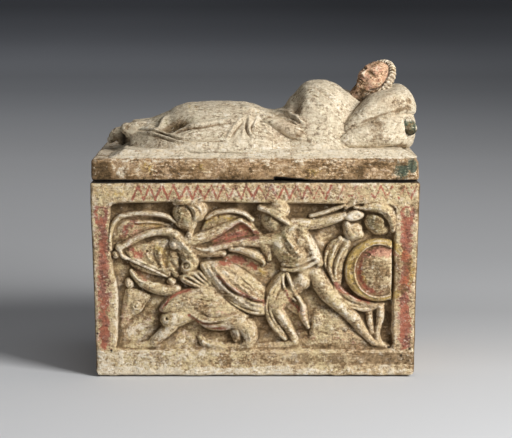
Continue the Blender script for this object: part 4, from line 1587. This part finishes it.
def makeHead():
    # an ellipsoid, narrower towards the jaw; the features are bells: height, place, half widths, in
    # millimetres across and up from the middle; the hair adds waves of two sines
    around = np.linspace(0, 2 * math.pi, lyingHead["around"], endpoint=False)
    rising = np.linspace(-math.pi / 2, math.pi / 2, lyingHead["rising"])[1:-1, None]
    x, y, z = np.cos(rising) * np.sin(around), -np.cos(rising) * np.cos(around), np.sin(rising) + 0 * around
    jaw = clipped(-z)
    u = x * lyingHead["width"] / 2 * (1 - 0.22 * jaw ** 1.6) * (1 + 0.02 * z)
    v = z * lyingHead["height"] / 2
    local = np.stack([u, y * lyingHead["depth"] / 2 * (1 - 0.10 * jaw ** 2), v], axis=-1)
    front = clipped((-y - 0.15) / 0.5)

    def spot(px, pz, rx, rz):
        return np.exp(-((np.abs(u) - px) / rx) ** 2 - ((v - pz) / rz) ** 2)

    def middle(pz, rx, rz):
        return np.exp(-(u / rx) ** 2 - ((v - pz) / rz) ** 2)

    rise = 3.4 * bell(u / 1.9) * clipped((4.2 - v) / 9.0) * clipped((v + 6.2) / 1.4)
    for height, *place in ((1.1, 5.2, 4.6, 4.6, 1.5), (-1.7, 5.4, 1.4, 3.6, 2.2), (1.5, 5.4, 0.8, 2.5, 1.5),
                           (0.35, 5.4, -0.1, 2.6, 0.5), (-0.45, 5.4, 2.1, 2.7, 0.45),
                           (0.9, 2.2, -5.4, 1.0, 1.1), (0.8, 8.5, -4.5, 4.0, 4.5)):
        rise += height * spot(*place)
    for height, *place in ((1.0, -9.3, 4.0, 0.95), (1.1, -11.2, 3.4, 1.1), (-1.0, -10.2, 4.4, 0.42),
                           (1.5, -16.2, 3.6, 2.6), (-0.6, -13.2, 4.2, 1.0)):
        rise += height * middle(*place)
    rise *= 1.2 * front
    hairline = local[..., 1] + 1.6 + 0.5 * np.clip(-v - 2, 0, 20)
    hair = clipped(hairline / 1.2) * clipped((v + 16) / 6)
    strands = 0.6 * np.sin(around * 26 + 1.6 * np.sin(rising * 7)) + 0.3 * np.sin(around * 43)
    points = local @ headAxes() + lyingHead["place"]
    rise += hair * (1.5 + 0.55 * strands) + lumps(points, (0.16, 2.6, 121), (0.2, 7, 122))
    blush = clipped(lumps(points, (1, 8, 123)))
    eyes, nose, lips = spot(5.4, 1.0, 2.4, 0.8), spot(1.6, -6.6, 0.8, 0.6), middle(-10.2, 3.6, 0.6)
    shade = front * (eyes + 0.8 * lips + 0.5 * nose)
    face = -0.34 * (rise - 0.45) * (1 - hair)
    edge = 0.9 * bell(hairline - 0.2) * (v > -12)
    fields = {"cavity": clipped(1.2 * shade + 0.5 * hair * (0.3 - strands) + face, -1),
              "palePaint": 0.7 * hair, "oliveStain": 0.5 * hair, "pinkPaint": 0.45 * (1 - hair),
              "redPaint": 0.2 * (1 - hair) * blush,
              "darkStain": np.maximum(edge, 0.7 * clipped((-v - 15) / 6))}
    ringPiece("head", points + ringNormals(points) * rise[..., None], fields)


def makeHeadband():
    # circles along an ellipse from ear to ear; the radius swells by a cosine, once for every bead
    beads, thick = lyingHead["beads"], lyingHead["bandRadius"]
    t = np.linspace(0, 1, 20 * beads + 1)
    turn = np.radians((t - 0.5) * lyingHead["bandArc"])
    swell = np.cos(2 * math.pi * beads * (t - 0.5 / beads))[:, None]
    ends = np.sqrt(np.clip(1 - (2 * np.abs(t - 0.5)) ** 18, 0.02, 1))[:, None]
    radius = thick * (0.98 + 0.08 * swell) * ends
    outward = np.column_stack([np.sin(turn), 0 * t, np.cos(turn)])
    reach = ((lyingHead["width"] + thick) / 2, 0, (lyingHead["height"] + thick) / 2)
    centre = outward * reach + (0, lyingHead["depth"] * 0.1, 0)
    angle = np.linspace(0, 2 * math.pi, lyingHead["bandAround"], endpoint=False)
    grid = centre[:, None] + outward[:, None] * (np.cos(angle) * radius)[..., None]
    grid[..., 1] += np.sin(angle) * 1.35 * radius
    points, cavity = roughGrid(grid @ headAxes() + lyingHead["place"], 0.5, 131)
    fields = {"cavity": clipped(cavity - 0.4 * swell, -1), "ochrePaint": 0 * cavity + 0.25}
    ringPiece("beaded_headband", points, fields)


def makeNeck():
    # a short round neck from under the chin into the mantle
    top = lyingHead["place"] - headAxes()[2] * lyingHead["height"] * 0.25
    root = top + lyingHead["neck"]
    rows = (*top, 11.6, 11.6, *(top + root) / 2, 11.2, 11.4, *root, 12.5, 12.5)
    grid, cavity = roughGrid(tubeGrid(rows, 60, 14), 0.6, 141)
    ringPiece("neck", grid, {"cavity": clipped(cavity + 0.35, -1),
                             "darkStain": 0.5 * clipped((300 - grid[..., 2]) / 10)})


makeHead()
makeHeadband()
makeNeck()
print("head made")


# Floor, light and camera: lamps are place, target, size, power and colour; tones are ramp place and grey

studio = {
    "pitch": 7.70, "lens": 130.08, "sensor": 36.0, "floorSize": 60.0, "floorDrop": 0.0012,
    "sky": (0.058, 0.058, 0.060, 1),
    "lamps": {"keyLight": ((1.42, -1.28, 1.12), (0, 0, 0.13), 0.8, 61, (1.0, 0.985, 0.955)),
              "topLight": ((0.1, -0.1, 1.9), (0, 0, 0.13), 1.4, 5.5, (1.0, 0.99, 0.98)),
              "fillLight": ((-1.7, -1.8, 0.9), (0, 0, 0.13), 1.6, 2.5, (0.97, 0.98, 1.0)),
              "backLight": ((0, 4.5, 3.2), (0, 5.5, 0), 3.0, 14, (0.98, 0.99, 1.0))},
    "tones": (0.22,0.645, 0.3,0.615, 0.321,0.566, 0.343,0.535, 0.368,0.512, 0.399,0.6, 0.44,0.64, 0.475,0.718,
              0.5175,0.827, 0.55,0.895, 0.586,0.935, 0.61,0.9, 0.635,0.85, 0.66,0.768, 0.687,0.643,
              0.714,0.544, 0.743,0.514, 0.772,0.626, 0.803,0.69, 0.835,0.655, 0.868,0.588, 0.902,0.43),
}


def floorFinish():
    # pale grey, as a ramp over the depth y: (y + 1) / (y + 3.2); a little lighter towards the left
    material, tree, shader, place = newMaterial("paleFloor", 0.2)
    parts = addNode(tree, "ShaderNodeSeparateXYZ", None, Vector=place)
    depth = Value(parts.outputs["Y"]) + 1.0
    depth = depth.calc("MAXIMUM", depth, 0.01)
    ramp = addNode(tree, "ShaderNodeValToRGB", None, Fac=depth.calc("DIVIDE", depth, depth + 2.2))
    sideways = depth.calc("MINIMUM", depth.calc("MAXIMUM", parts.outputs["X"], -1.1), 1.1)
    shaded = addNode(tree, "ShaderNodeVectorMath", {"operation": "SCALE"}, i0=ramp.outputs["Color"],
                     Scale=1.0 - sideways * 0.16)
    tones = pairs(studio["tones"])
    for position in tones[1:-1, 0]:
        ramp.color_ramp.elements.new(position)
    for element, (position, grey) in zip(ramp.color_ramp.elements, tones):
        tint = 1.06 + 0.45 * max(position - 0.62, 0)
        element.position = position
        element.color = (grey, grey * (0.65 + 0.35 * tint), grey * tint, 1)
    tree.links.new(shaded.outputs["Vector"], shader.inputs["Base Color"])
    shader.inputs["Roughness"].default_value = 0.85
    return material


def makeStudio():
    # a wide floor just under the part, four square lamps, a dim sky, and the camera of the photograph
    scene, half = bpy.context.scene, studio["floorSize"] / 2
    mesh = bpy.data.meshes.new("paleFloor")
    corners = [(-half, -half, 0), (half, -half, 0), (half, half, 0), (-half, half, 0)]
    mesh.from_pydata(corners, [], [(0, 1, 2, 3)])
    mesh.materials.append(floorFinish())
    floor = bpy.data.objects.new("paleFloor", mesh)
    floor.location.z = -studio["floorDrop"]
    scene.collection.objects.link(floor)
    for name, (place, target, size, power, colour) in studio["lamps"].items():
        lamp = bpy.data.lights.new(name, "AREA")
        lamp.shape, lamp.size, lamp.energy, lamp.color = "SQUARE", size, power, colour
        light = bpy.data.objects.new(name, lamp)
        light.location = place
        light.rotation_euler = (Vector(target) - Vector(place)).to_track_quat("-Z", "Y").to_euler()
        scene.collection.objects.link(light)
    scene.world = bpy.data.worlds.new("studioWorld")
    scene.world.use_nodes = True
    background = scene.world.node_tree.nodes["Background"]
    background.inputs["Color"].default_value = studio["sky"]
    background.inputs["Strength"].default_value = 1.0
    data = bpy.data.cameras.new("photoCamera")
    data.lens, data.sensor_width = studio["lens"], studio["sensor"]
    camera = bpy.data.objects.new("photoCamera", data)
    camera.location = eye * mm
    camera.rotation_euler = (math.radians(90 - studio["pitch"]), 0, 0)
    scene.collection.objects.link(camera)
    scene.camera = camera
    scene.view_settings.view_transform = "Standard"


makeStudio()
print("studio made")

bpy.context.view_layer.update()
